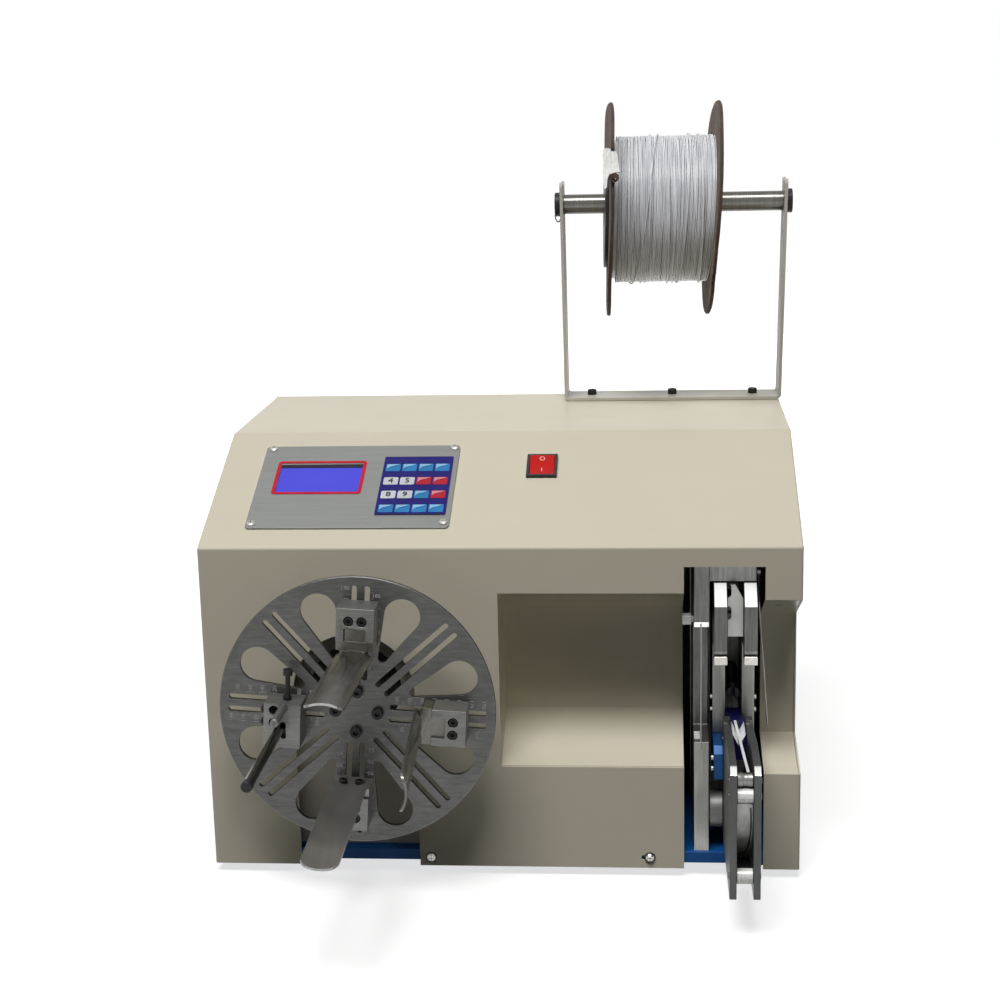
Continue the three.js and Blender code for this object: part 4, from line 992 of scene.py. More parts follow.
class NodeTool(Tree):
    """A small Geometry Nodes tree, built in code, with named inputs for its sizes."""

    def __init__(self, name: str) -> None:
        """Starts a tree of that name with a mesh input and a mesh output."""
        super().__init__(bpy.data.node_groups.new(name, "GeometryNodeTree"))
        for way in ("INPUT", "OUTPUT"):
            self.tree.interface.new_socket("Geometry", in_out=way, socket_type="NodeSocketGeometry")
        self.start = self.tree.nodes.new("NodeGroupInput")
        self.end = self.tree.nodes.new("NodeGroupOutput")
        self.values: dict[str, float] = {}

    def named(self, name: str, value: float) -> Socket:
        """Adds a named input for a size in metres, a share or a whole number, and gives its socket."""
        kind = "NodeSocketInt" if isinstance(value, int) else "NodeSocketFloat"
        self.tree.interface.new_socket(name, in_out="INPUT", socket_type=kind)
        self.values[name] = value
        return self.start.outputs[name]

    def vector(self, x: object, y: object, z: object) -> Socket:
        """Joins three numbers into a vector."""
        return self.out("ShaderNodeCombineXYZ", {0: x, 1: y, 2: z})

    def moved(self, geometry: Socket, to: object) -> Socket:
        """Moves geometry by a vector."""
        return self.out("GeometryNodeTransform", {0: geometry, "Translation": to})

    def finish(self, geometry: Socket, material: bpy.types.Material) -> None:
        """Ends the tree: instances are made real and get a material.

        Args:
            geometry: What the tree has made.
            material: The material that it gets.
        """
        real = self.out("GeometryNodeRealizeInstances", {0: geometry})
        painted = self.out("GeometryNodeSetMaterial", {"Geometry": real, "Material": material})
        self.tree.links.new(painted, self.end.inputs[0])

    def spread(self, shape: Socket, material: bpy.types.Material, along: Axis | None = None) -> None:
        """Ends the tree: each point gets a shape.

        Args:
            shape: The shape.
            material: Its material.
            along: The shape's axis that follows the points' attribute named axis, if one does.
        """
        inputs = {"Points": self.start.outputs[0], "Instance": shape}
        if along is not None:
            way = self.out("GeometryNodeInputNamedAttribute", {"Name": "axis"}, data_type="FLOAT_VECTOR")
            turn = self.out("FunctionNodeAlignRotationToVector", {"Vector": way}, axis=along.name)
            inputs["Rotation"] = turn
        self.finish(self.out("GeometryNodeInstanceOnPoints", inputs), material)

    def run(self, points: Sequence[Point], name: str, axes: Sequence[Point] = (),
            angle: float = SOFT_ANGLE) -> Solid:
        """Runs the tree on points and keeps the result as a plain mesh.

        Args:
            points: The points that it starts from, in millimetres.
            name: The object's name.
            axes: A direction for each point, read in the tree as the attribute named axis.
            angle: Edges sharper than this stay sharp, in degrees.

        Returns:
            The finished object.
        """
        mesh = bpy.data.meshes.new(name)
        mesh.from_pydata([tuple(part * MM for part in point) for point in points], [], [])
        if axes:
            attribute = mesh.attributes.new("axis", "FLOAT_VECTOR", "POINT")
            attribute.data.foreach_set("vector", [part for axis in axes for part in axis])
        made = into_scene(name, mesh)
        modifier = made.modifiers.new(self.tree.name, "NODES")
        modifier.node_group = self.tree
        for item in self.tree.interface.items_tree:
            if item.in_out == "INPUT" and item.name in self.values:
                modifier[item.identifier] = self.values[item.name]
        applied(made)
        made.data.shade_smooth()
        made.data.set_sharp_from_angle(angle=radians(angle))
        return made


class Drive(Enum):
    """What turns a screw: its head's rounded share of the height, and its top's share of the radius."""

    HEX = (0.16, 0.88)
    CROSS = (0.6, 0.62)


@dataclass
class ScrewKind:
    """One kind of screw head, put in place by a Geometry Nodes tree.

    Attributes:
        key: Half the width of the hole for the key.
        bar: Width of a cross slot, as a share of the key.
        sunk: Depth of the hole, as a share of the head's height.
    """

    name: str
    finish: Finish
    radius: float
    height: float
    key: float
    drive: Drive = Drive.HEX
    sides: int = 32
    bar: float = 0.34
    sunk: float = 0.6

    def holes(self, tool: NodeTool, depth: Socket) -> list[Socket]:
        """Makes what is taken out of the head for its key.

        Args:
            tool: The tree that it is made in.
            depth: How long the solids are.

        Returns:
            The solids, round the origin.
        """
        key = tool.named("Key size", self.key * MM)
        if self.drive is Drive.HEX:
            return [tool.out("GeometryNodeMeshCylinder", {"Vertices": 6, "Radius": key, "Depth": depth})]
        thin, wide = tool.times(key, self.bar), tool.times(key, 2.0)
        sizes = [tool.vector(wide, thin, depth), tool.vector(thin, wide, depth)]
        return [tool.out("GeometryNodeMeshCube", {"Size": size}) for size in sizes]

    def head(self, tool: NodeTool) -> Socket:
        """Makes the head, standing on the origin and rising along Z.

        Args:
            tool: The tree that it is made in.

        Returns:
            The head's geometry.
        """
        radius = tool.named("Head radius", self.radius * MM)
        height = tool.named("Head height", self.height * MM)
        rounded, top_share = self.drive.value
        share = tool.named("Rounded share", rounded)
        top = tool.times(height, tool.minus(1.0, share))
        low = {"Vertices": self.sides, "Radius Top": radius, "Radius Bottom": radius, "Depth": top}
        high = {**low, "Radius Top": tool.times(radius, top_share), "Depth": tool.times(height, share)}
        crown = tool.moved(tool.out("GeometryNodeMeshCone", high), tool.vector(0.0, 0.0, top))
        inputs = {"Mesh 2": tool.out("GeometryNodeMeshCone", low)}
        both = tool.node("GeometryNodeMeshBoolean", inputs, operation="UNION", solver="FLOAT")
        tool.tree.links.new(crown, both.inputs["Mesh 2"])
        deep = tool.times(height, self.sunk)
        floor = tool.minus(height, tool.times(deep, 0.5))
        centre = tool.vector(0.0, 0.0, tool.plus(floor, tool.times(deep, 0.3)))
        body = both.outputs[0]
        for hole in self.holes(tool, tool.times(deep, 1.6)):
            inputs = {"Mesh 1": body, "Mesh 2": tool.moved(hole, centre)}
            body = tool.out("GeometryNodeMeshBoolean", inputs, operation="DIFFERENCE", solver="EXACT")
        return body

    def fit(self, places: Sequence[tuple[Point, Point]], name: str, body: str = "machine_frame") -> Solid:
        """Puts heads in place on one body.

        Args:
            places: For each screw its seat and the direction that its head points.
            name: The piece's name.
            body: The CAD body that it moves with.

        Returns:
            The screws, as one piece.
        """
        tool = NodeTool(f"{self.name}_tree")
        tool.spread(self.head(tool), self.finish.material(), Axis.Z)
        made = tool.run([place for place, _ in places], name, [axis for _, axis in places])
        return fitted(made, self.finish, body=body)


# Housing


@dataclass
class Housing:
    """The sheet cover with its bends, the recesses, the base plate, the feet and the back.

    Attributes:
        over: How far a cutting tool passes a face.
        port: Centre in X, centre in Z and radius of the round port for the gearmotor.
        slot: Left side, right side and top of the head's slot.
        recess: Left, low and high edge of the big recess.
        side_recess: Low and high edge of the small recess at the right.
        slants: How far their floor and roof slant over that depth: floor and roof of the small one.
        bezel_hole: Width and length of the hole for the switch.
        bezel_place: Its centre, in X and up the slope.
        foot: Radius and height of a rubber foot.
        notch: X and Z of the slotted hole that the right one of them sits in.
        notch_size: Its width, height and corner radius.
        rear_inset: How far the back's screws stand in from its sides and from its top.
    """

    width: float = 492
    front: float = -173.5
    back: float = 171.7
    skirt: float = -4
    front_rise: float = 272.5
    top_rise: float = 338.5
    slope_run: float = 155
    wall: float = 1.5
    bend: float = 3
    over: float = 8
    port: Point = (-121, 148.8, 50.6)
    slot: Point = (150.8, 216, 256)
    recess: Point = (0, 85, 234)
    side_recess: Flat = (80, 228.5)
    recess_depth: float = 65
    slants: Flat = (13, 29.5)
    bezel_hole: Flat = (24, 29.8)
    bezel_place: Flat = (32, 112.5)
    foot: Flat = (15, 11.7)
    skirt_screws: tuple[Flat, Flat] = ((-61, 3.5), (122.5, 5.4))
    notch: Flat = (120.2, 5.2)
    notch_size: Point = (9.4, 4.4, 2.1)
    bracket_screws: Point = (68, 145, 221.5)
    bracket_thick: float = 3
    rear_inset: Flat = (9, 12)

    def slope_angle(self) -> float:
        """Gives the slope's angle in radians."""
        return atan2(self.top_rise - self.front_rise, self.slope_run)

    def on_slope(self, x: float, up: float, out: float = 0) -> Point:
        """Gives the place of a point on the slope.

        Args:
            x: Its X.
            up: How far it is up the slope from the front bend.
            out: How far it stands off the slope.

        Returns:
            The point in the frame.
        """
        angle = self.slope_angle()
        y = self.front + up * cos(angle) - out * sin(angle)
        return (x, y, self.front_rise + up * sin(angle) + out * cos(angle))

    def off_slope(self) -> Vector:
        """Gives the direction that points straight off the slope."""
        return Vector(self.on_slope(0, 0, 1)) - Vector(self.on_slope(0, 0, 0))

    def slope_matrix(self, x: float = 0, up: float = 0, out: float = 0) -> Matrix:
        """Gives the matrix that lays a drawing in X and Y on the slope."""
        return Matrix.Translation(self.on_slope(x, up, out)) @ Matrix.Rotation(self.slope_angle(), 4, "X")

    def section(self, inset: float, past: float) -> list[Flat]:
        """Gives the cover's side outline with its bends rounded.

        Args:
            inset: How far it lies inside the outer face.
            past: How far it runs past the lower and the rear edge.

        Returns:
            Its points in Y and Z.
        """
        angle = self.slope_angle()
        front, top = self.front + inset, self.top_rise - inset
        bend_z = self.front_rise + tan(angle) * inset - inset / cos(angle)
        bend_y = self.front + (top - self.front_rise + inset / cos(angle)) / tan(angle)
        corners = [(front, self.skirt - past), (front, bend_z), (bend_y, top), (self.back + past, top)]
        corners.append((self.back + past, self.skirt - past))
        radius = self.bend - inset
        points: list[Flat] = []
        for index, corner in enumerate(corners):
            if index not in (1, 2):
                points.append(corner)
                continue
            here = Vector(corner)
            before = (Vector(corners[index - 1]) - here).normalized()
            after = (Vector(corners[index + 1]) - here).normalized()
            half = before.angle(after) / 2
            start = here + before * radius / tan(half)
            end = here + after * radius / tan(half)
            middle = here + (before + after).normalized() * radius / sin(half)
            turn = (start - middle).angle_signed(end - middle)
            for step in range(7):
                spoke = start - middle
                spoke.rotate(Matrix.Rotation(-turn * step / 6, 2))
                points.append(tuple(middle + spoke))
        return points

    def cover(self) -> None:
        """Builds the folded cover with its openings."""
        half, over, wall = self.width / 2, self.over, self.wall
        outer = prism(self.section(0, over), (-half, half), Axis.X, "housing_cover_shown")
        softened(outer, self.bend * 0.6, 3)
        foot, before, beyond = self.skirt - over, self.front - over, self.back + over * 3
        deep, through = self.front + self.recess_depth, (before, self.front + over)
        port_x, port_z, port_r = self.port
        crown = arc((port_x, port_z), port_r, 0, pi, 48)
        arch = [(port_x + port_r, foot), *crown, (port_x - port_r, foot)]
        left, right, top = self.slot
        recess_left, recess_low, recess_high = self.recess
        low, high = self.side_recess
        side = [(before, low), (self.front, low), (deep, low + self.slants[0]), (deep, high - self.slants[1]),
                (self.front, high), (before, high)]
        notch_wide, notch_high, notch_round = self.notch_size
        notch = rounded_rectangle(middle_box(notch_wide, notch_high, self.notch), notch_round)
        openings = [
            (self.section(wall, over * 2), (-half + wall, half - wall), Axis.X, "inside"),
            (rectangle(-half * 2, half * 2, self.skirt, -half), (before, beyond), Axis.Y, "low"),
            (rectangle(-half * 2, half * 2, -half, half * 2), (self.back, beyond), Axis.Y, "rear"),
            (arch, through, Axis.Y, "port"),
            (rectangle(left, right, foot, top), through, Axis.Y, "slot"),
            (rectangle(recess_left, left + wall, recess_low, recess_high), through, Axis.Y, "recess"),
            (side, (right - wall, half + over), Axis.X, "side"),
            (rounded_rectangle(middle_box(*self.bezel_hole), 0.6), (-over, over), Axis.Z, "hole"),
            (notch, through, Axis.Y, "notch"),
        ]
        tools = [prism(*opening) for opening in openings]
        place_mesh(tools[-2], self.slope_matrix(*self.bezel_place))
        folded = cut(outer, tools)
        even = folded.modifiers.new("even", "WEIGHTED_NORMAL")
        even.keep_sharp = True
        fitted(applied(folded), CREAM, "housing_cover")

    def rubber_feet(self) -> None:
        """Builds the four feet, each with its screw recess and rounded rim."""
        radius, height = self.foot
        profile = [(0, 3), (radius * 0.28, 3), (radius * 0.3, 0.6), (radius * 0.34, 0), (radius - 3.2, 0),
                   (radius - 2.2, 0.4), (radius - 1.8, 1.4), (radius, height - 1),
                   (radius - 0.4, height - 0.3), (radius - 1, height), (0, height)]
        for index in range(1, 5):
            lathed(f"rubber_foot_{index}", Axis.Z, profile, RUBBER, 48)

    def screws(self) -> None:
        """Puts in the skirt's, the bracket's and the back's screws."""
        pan = ScrewKind("pan_screw", BRIGHT_ZINC_AND_REFLECTION, 3.5, 2.4, 2.1, Drive.CROSS)
        seats = [(x, self.front, z) for x, z in self.skirt_screws]
        pan.fit([(seat, (0, -1, 0)) for seat in seats], "skirt_screws")
        ring = [(2.8, -0.9), (4.3, -0.9), (4.7, -0.4), (4.7, 0.1), (2.8, 0.1), (2.8, -0.9)]
        washers = [turned(ring, seat, Axis.Y, "washer", 32) for seat in seats]
        fitted(joined(washers, "skirt_washers"), BLACK_OXIDE)
        cap = ScrewKind("bracket_cap_screw", BLACK_OXIDE, 4.25, 5.0, 2.3)
        low, high = box_mm("reel_bracket")
        seats = [(x, (low.y + high.y) / 2, low.z + self.bracket_thick) for x in self.bracket_screws]
        cap.fit([(seat, (0, 0, 1)) for seat in seats], "bracket_screws")
        aside, under = self.width / 2 - self.rear_inset[0], self.top_rise - self.rear_inset[1]
        places = [(side * aside, z) for side in (-1, 1) for z in (14, self.top_rise / 2, under)]
        places += [(x, self.top_rise - self.rear_inset[0]) for x in (-80, 80)]
        rear = box_mm("rear_panel")[1].y
        pan.fit([((x, rear, z), (0, 1, 0)) for x, z in places], "rear_screws")

    def build(self) -> None:
        """Builds and dresses the housing."""
        self.cover()
        dressed("base_plate", BLUE, 0.8)
        dressed("recess_liner", CREAM, 0.35)
        dressed("side_recess_liner", COARSE_CREAM, 0.35)
        fitted(cad_copy("rear_panel", False), CREAM, "rear_panel")
        dressed("power_inlet", BLACK_PLASTIC_AND_SHADOW, 0.5)
        self.rubber_feet()
        self.screws()


@dataclass
class ControlPanel:
    """The plate on the slope with its display and keypad, and the rocker switch.

    Attributes:
        border: Left, right, low and high edge of the red border round the display.
        shade: How far the painted shadow strip at the display's top reaches down and up from its edge.
        film: Lower and upper face of the keypad's film, off the plate.
        figures: The column and the row of the keys with a figure.
        marks: The rocker's two marks, and how far up from its centre they stand.
    """

    housing: Housing
    plate_top: float = 1.8
    screws: tuple[Flat, ...] = ((-204.7, 140.6), (-45.1, 140.9), (-206.2, 31.5), (-45.6, 32.6))
    border: Edges = (-196.6, -119.5, 72.4, 120.8)
    border_width: float = 2.9
    screen: Edges = (-193.2, -122.2, 75.5, 115.7)
    shade: Flat = (4.4, 2.2)
    pad: Edges = (-104.3, -44.8, 42.4, 126)
    film: Flat = (0.3, 0.9)
    key: Flat = (12.7, 11)
    key_raise: float = 0.5
    key_corner: float = 1.4
    first_key: Flat = (-95.6, 50.2)
    pitch: Flat = (14.1, 19.7)
    figures: dict[str, tuple[int, int]] = field(
        default_factory=lambda: {"8": (0, 1), "9": (1, 1), "4": (0, 2), "5": (1, 2)})
    marks: dict[str, float] = field(default_factory=lambda: {"O": 7.0, "I": -6.0})

    def laid(self, made: Solid, finish: Finish, replaces: str = "") -> Solid:
        """Lays a piece that is drawn flat on the slope, with its finish."""
        return fitted(place_mesh(made, self.housing.slope_matrix()), finish, replaces)

    def display(self) -> None:
        """Builds the display: lit glass, its upper strip of painted shadow and the red printed border."""
        left, right, low, high = self.border
        rim = self.border_width
        span = (self.plate_top, self.plate_top + 0.35)
        outer = prism(rounded_rectangle(self.border, 3.2), span, Axis.Z, "display_border")
        inner = (left + rim, right - rim, low + rim, high - rim)
        self.laid(cut(outer, [prism(rounded_rectangle(inner, 1.2), (0, 4), Axis.Z, "hole")]), INK_RED)
        left, right, low, high = self.screen
        # A dark strip under the glass along the display's top edge: painted shadow.
        strip = rectangle(left - 0.2, right + 0.2, high - self.shade[0], high + self.shade[1])
        span = (self.plate_top - 0.4, self.plate_top - 0.05)
        self.laid(softened(prism(strip, span, Axis.Z, "display_shade"), 0.1), DARK_INK_AND_SHADE)
        middle = tuple(part * MM for part in self.housing.on_slope(-158, 94))
        glass = Lit("lit_display_glass", "display", centre=middle, reach=0.06)
        fitted(softened(cad_copy("display_window"), 0.2), glass, "display_window")

    def key_centre(self, column: int, row: int) -> Flat:
        """Gives a key's centre, in X and up the slope."""
        return (self.first_key[0] + column * self.pitch[0], self.first_key[1] + row * self.pitch[1])

    def keys(self) -> None:
        """Builds the keypad's film and its keys, placed by a Geometry Nodes tree for each colour."""
        span = (self.plate_top + self.film[0], self.plate_top + self.film[1])
        film = prism(rounded_rectangle(self.pad, 1), span, Axis.Z, "keypad_film")
        self.laid(softened(film, 0.15), INK_NAVY, "keypad")
        rows = {KEY_BLUE: [(0, 0), (1, 0), (2, 0), (3, 0), (2, 1), (0, 3), (1, 3), (2, 3), (3, 3)],
                KEY_WHITE: [(0, 1), (1, 1), (0, 2), (1, 2)], KEY_RED: [(3, 1), (2, 2), (3, 2)]}
        pale = {KEY_BLUE: KEY_PALE_BLUE, KEY_RED: KEY_PALE_RED}
        for finish, places in rows.items():
            centres = [self.key_centre(column, row) for column, row in places]
            self.key_set(centres, span[1], finish)
            if finish in pale:
                self.key_corners(centres, span[1] + self.key_raise, pale[finish])
        for figure, place in self.figures.items():
            matrix = self.housing.slope_matrix(*self.key_centre(*place), span[1] + self.key_raise - 0.02)
            fitted(lettering(figure, 6.6, 0.12, matrix, f"key_figure_{figure}"), DARK_INK_AND_SHADE)

    def key_set(self, centres: Sequence[Flat], top: float, finish: Finish) -> None:
        """Places the keys of one colour.

        Args:
            centres: Their centres.
            top: The film's face off the slope.
            finish: Their finish.
        """
        tool = NodeTool(f"{finish.name}_tree")
        width = tool.named("Key width", self.key[0] * MM)
        length = tool.named("Key length", self.key[1] * MM)
        rise = tool.named("Key raise", self.key_raise * MM)
        corner = tool.named("Corner radius", self.key_corner * MM)
        shape = tool.out("GeometryNodeCurvePrimitiveQuadrilateral", {0: width, 1: length})
        fillet = {"Curve": shape, "Count": 5, "Radius": corner}
        rounded = tool.out("GeometryNodeFilletCurve", fillet, mode="POLY")
        face = tool.out("GeometryNodeFillCurve", {"Curve": rounded}, mode="NGONS")
        solid = tool.out("GeometryNodeExtrudeMesh", {"Mesh": face, "Offset Scale": rise, "Individual": False})
        both = tool.node("GeometryNodeJoinGeometry", {0: solid})
        tool.tree.links.new(tool.out("GeometryNodeFlipFaces", {0: face}), both.inputs[0])
        tool.spread(tool.out("GeometryNodeMergeByDistance", {0: both.outputs[0]}), finish.material())
        made = tool.run([(x, up, top) for x, up in centres], f"{finish.name}_keys")
        self.laid(softened(made, 0.12), finish)

    def key_corners(self, centres: Sequence[Flat], top: float, finish: Finish) -> None:
        """Adds the pale corner that each coloured key has.

        Args:
            centres: The keys' centres.
            top: The keys' face off the slope.
            finish: The corners' finish.
        """
        parts = []
        width, length = self.key
        for x, up in centres:
            left, high = x - width / 2 + 1, up + length / 2 - 1
            outline = [(left, high), (left, high - length * 0.62), (left + width * 0.2, high - length * 0.34),
                       (left + width * 0.62, high - length * 0.16), (left + width * 0.86, high)]
            parts.append(prism(outline, (top - 0.02, top + 0.06), Axis.Z, "corner"))
        self.laid(joined(parts, f"{finish.name}_corners"), finish)

    def rocker(self) -> None:
        """Builds the switch: its frame, the lit rocker and the two marks on it."""
        dressed("switch_bezel", BLACK_PLASTIC_AND_SHADOW, 0.35, 3)
        low, high = box_mm("switch_rocker")
        centre = tuple(part * MM for part in (low + high) / 2)
        red = Lit("lit_red_rocker", "red_plastic", (150, 14, 14), (255, 44, 30), 0.32, 0.2, centre, 0.014)
        fitted(softened(cad_copy("switch_rocker"), 0.35, 3, 28), red, "switch_rocker")
        x, middle = self.housing.bezel_place
        for mark, up in self.marks.items():
            start = self.housing.on_slope(x, middle + up, 40)
            seat, normal = surface_at("switch_rocker", start, -self.housing.off_slope())
            turn = Vector((0, 0, 1)).rotation_difference(normal).to_matrix().to_4x4()
            place = Matrix.Translation(seat - normal * 0.06) @ turn
            fitted(lettering(mark, 4.6, 0.2, place, f"rocker_mark_{mark}"), MARK_PINK, body="rocker")

    def build(self) -> None:
        """Builds and dresses the panel."""
        dressed("control_plate", BRUSHED_PLATE, 0.25)
        dressed("control_board", BOARD_GREEN, 0.15)
        self.display()
        self.keys()
        self.rocker()
        screw = ScrewKind("plate_screw", BRIGHT_ZINC_AND_REFLECTION, 3.6, 1.7, 2.0, Drive.CROSS)
        out = tuple(self.housing.off_slope())
        seats = [self.housing.on_slope(x, up, self.plate_top) for x, up in self.screws]
        screw.fit([(seat, out) for seat in seats], "plate_screws")


# Winding unit


@dataclass
class WindingUnit:
    """The slotted disc with its hub, the four clamps and the gearmotor behind them.

    Attributes:
        slot: Width, inner end and outer end of a slot.
        slot_spread: Distance between a pair of slots.
        window: Radius and distance of a window's wide end, then of its narrow end.
        rod_slot: Width, height and corner radius of the slot for the cable clamp's rod.
        block_screws: Distance of each clamp's screws from the centre: top, right, bottom, left.
        screw_sink: How far behind a block's front its screws and those of its finger are seated.
        finger_screws: Distance from the centre, and to either side, of a finger's screws.
        marks_out: How much further out than half its number a mark stands.
        marks_aside: How far beside the slots the ticks and the numbers stand.
    """

    centre: Flat = (-111.3, 148.8)
    turn: float = 4
    face: float = -218.5
    thickness: float = 4
    radius: float = 112
    slot: Point = (4.6, 26, 104.5)
    slot_spread: float = 10.4
    window: Edges = (14.6, 88, 3.6, 49)
    spokes: int = 8
    hub_screws: float = 17
    block_front: float = -244.5
    rod_slot: Point = (4.2, 14, 1.6)
    rod_place: Flat = (-166.6, 141.5)
    rod_cap: float = 7
    block_screws: tuple[float, ...] = (82.5, 80, 81, 69.8)
    screw_sink: Flat = (5.4, 6.5)
    finger_screws: Flat = (24, 6.5)
    blade_end: float = 8
    marks_from: int = 50
    marks_to: int = 190
    marks_out: float = 7
    marks_aside: Flat = (2.1, 5.2)

    def at(self, around: float, out: float, across: float = 0, y: float = 0) -> Point:
        """Gives a point on the disc.

        Args:
            around: Degrees clockwise from the top clamp.
            out: Distance from the centre.
            across: Distance to the clockwise side of that ray.
            y: The point's Y in the frame.

        Returns:
            The point in the frame.
        """
        angle = radians(around + self.turn)
        x = self.centre[0] + out * sin(angle) + across * cos(angle)
        return (x, y, self.centre[1] + out * cos(angle) - across * sin(angle))

    def ray_matrix(self, around: float, out: float, across: float, y: float) -> Matrix:
        """Gives the matrix that lays a drawing in X and Y on the disc's face, its top outwards."""
        spin = Matrix.Rotation(radians(around + self.turn), 4, "Y")
        upright = Matrix.Rotation(radians(90), 4, "X")
        return Matrix.Translation(self.at(around, out, across, y)) @ spin @ upright

    def through(self, points: Sequence[Flat], around: float, name: str) -> Solid:
        """Makes a tool that passes through the disc.

        Args:
            points: Its outline, across and out from the centre.
            around: Degrees clockwise from the top clamp.
            name: Its name.

        Returns:
            The tool.
        """
        places = [self.at(around, out, across) for across, out in points]
        span = (self.face - self.thickness, self.face + self.thickness * 2)
        return prism([(x, z) for x, _, z in places], span, Axis.Y, name)

    def disc(self) -> None:
        """Builds the disc with its slots, windows and screw holes."""
        start = (self.centre[0], self.face, self.centre[1])
        body = turned(barrel(self.radius, self.thickness, 0.5), start, Axis.Y, "winding_disc_shown", 180)
        width, inner, outer = self.slot
        end = width / 2
        big, big_at, small, small_at = self.window
        lean = asin((big - small) / (big_at - small_at))
        drop = arc((0, big_at), big, -lean, pi + lean * 2, 24)
        drop += arc((0, small_at), small, pi + lean, pi - lean * 2, 8)
        step = 360 / self.spokes
        tools = []
        for spoke in range(self.spokes):
            for side in (-1, 1):
                across = side * self.slot_spread / 2
                shape = arc((across, outer - end), end, 0, pi, 12)
                shape += arc((across, inner + end), end, pi, pi, 12)
                tools.append(self.through(shape, spoke * step, "slot"))
            tools.append(self.through(drop, (spoke + 0.5) * step, "window"))
        whole_faces(cut(body, [joined(tools, "holes")]))
        # The disc's rounded edges take the painted edge highlight.
        coloured(body, DISC_STEEL, PAINTED_EDGE_HIGHLIGHT)
        fitted(softened(body, 0.22, 2, 40, 1), DISC_STEEL, "winding_disc")

    def marks(self) -> None:
        """Engraves the distance marks beside the four clamp slots: ticks from a tree, and plain numbers."""
        tool = NodeTool("scale_tick_tree")
        length = tool.named("Tick length", 2.4 * MM)
        width = tool.named("Tick width", 0.28 * MM)
        depth = tool.named("Tick depth", 0.06 * MM)
        bar = tool.out("GeometryNodeMeshCube", {"Size": tool.vector(length, depth, width)})
        tool.spread(bar, MARK_GREY.material(), Axis.X)
        points, axes, figures = [], [], []
        edge = self.slot_spread / 2 + self.slot[0] / 2
        tick, figure = (edge + aside for aside in self.marks_aside)
        for around in CLAMPS.values():
            across = tuple(Vector(self.at(around, 0, 1)) - Vector(self.at(around, 0)))
            for number in range(self.marks_from, self.marks_to + 1, 5):
                side = 1 if (number // 5) % 2 else -1
                points.append(self.at(around, number / 2 + self.marks_out, side * tick, self.face - 0.01))
                axes.append(across)
            for start, side in ((0, -1), (10, 1)):
                for number in range(self.marks_from + start, self.marks_to + 1, 20):
                    matrix = self.ray_matrix(around, number / 2 + self.marks_out, side * figure, self.face)
                    figures.append(lettering(str(number), 3.3, 0.08, matrix, "figure"))
        fitted(tool.run(points, "disc_ticks", axes), MARK_GREY, body="winder")
        fitted(joined(figures, "disc_figures"), MARK_GREY, body="winder")

    def clamp_screws(self) -> None:
        """Puts in the hub's and the clamps' screws."""
        hub = ScrewKind("hub_cap_screw", BLACK_OXIDE, 4.7, 5, 2.4)
        places = [(self.at(around, self.hub_screws, 0, self.face), (0, -1, 0)) for around in CLAMPS.values()]
        hub.fit(places, "hub_screws", "winder")
        cap = ScrewKind("clamp_cap_screw", BLACK_OXIDE, 3.7, 4.2, 2.0)
        for (clamp, around), out in zip(CLAMPS.items(), self.block_screws):
            depth = self.block_front + self.screw_sink[0]
            seats = [self.at(around, out, side * self.slot_spread / 2, depth) for side in (-1, 1)]
            cap.fit([(seat, (0, -1, 0)) for seat in seats], f"clamp_{clamp}_screws", f"clamp_{clamp}")
        small = ScrewKind("carrier_cap_screw", BLACK_OXIDE, 3.3, 3.2, 1.7)
        out, aside = self.finger_screws
        for side in ("top", "right", "bottom"):
            around = CLAMPS[side]
            inward = Vector(self.at(around, 0)) - Vector(self.at(around, 1))
            places = []
            for across in (-aside, aside):
                start = self.at(around, out, across, self.block_front + self.screw_sink[1])
                seat, _ = surface_at(f"finger_{side}", start, -inward)
                places.append((seat - inward * 0.2, tuple(inward)))
            small.fit(places, f"finger_{side}_screws", f"clamp_{side}")

    def cable_clamp(self) -> None:
        """Builds the cable-end clamp: its rod with the black end, the set pin and the tall knurled screw."""
        width, height, corner = self.rod_slot
        outline = rounded_rectangle(middle_box(width, height, self.rod_place), corner)
        slot = prism(outline, (self.block_front - 2, self.block_front + 10), Axis.Y, "slot")
        block = whole_faces(cut(cad_copy("clamp_block_left"), [slot]))
        fitted(softened(block, 0.4), MILLED, "clamp_block_left")
        start, length, _ = round_place("clamp_rod", Axis.Y)
        end = self.rod_cap
        rod = [(0, end), (4, end), (4, length - 0.6), (3.4, length), (0, length)]
        cap = [(0, 0), (3.7, 0), (4.3, 0.5), (4.5, 1.2), (4.5, end - 0.6), (4.1, end), (0, end)]
        bright = coloured(turned(rod, start, Axis.Y, "rod", 40), CHROME)
        dark = coloured(turned(cap, start, Axis.Y, "cap", 40), BLACK_OXIDE)
        fitted(joined([bright, dark], "clamp_rod_shown"), CHROME, "clamp_rod")
        length = round_place("clamp_pin", Axis.Y)[1]
        pin = [(0, 0.5), (1.3, 0.5), (1.3, 0), (2.9, 0), (3.4, 0.5), (3.4, length - 0.4), (3, length),
               (0, length)]
        lathed("clamp_pin", Axis.Y, pin, MILLED, 40)
        dressed("clamp_screw", BLACK_OXIDE, 0.3)

    def build(self) -> None:
        """Builds and dresses the winding unit."""
        self.disc()
        self.marks()
        for side in ("top", "right", "bottom"):
            dressed(f"clamp_block_{side}", MILLED, 0.45)
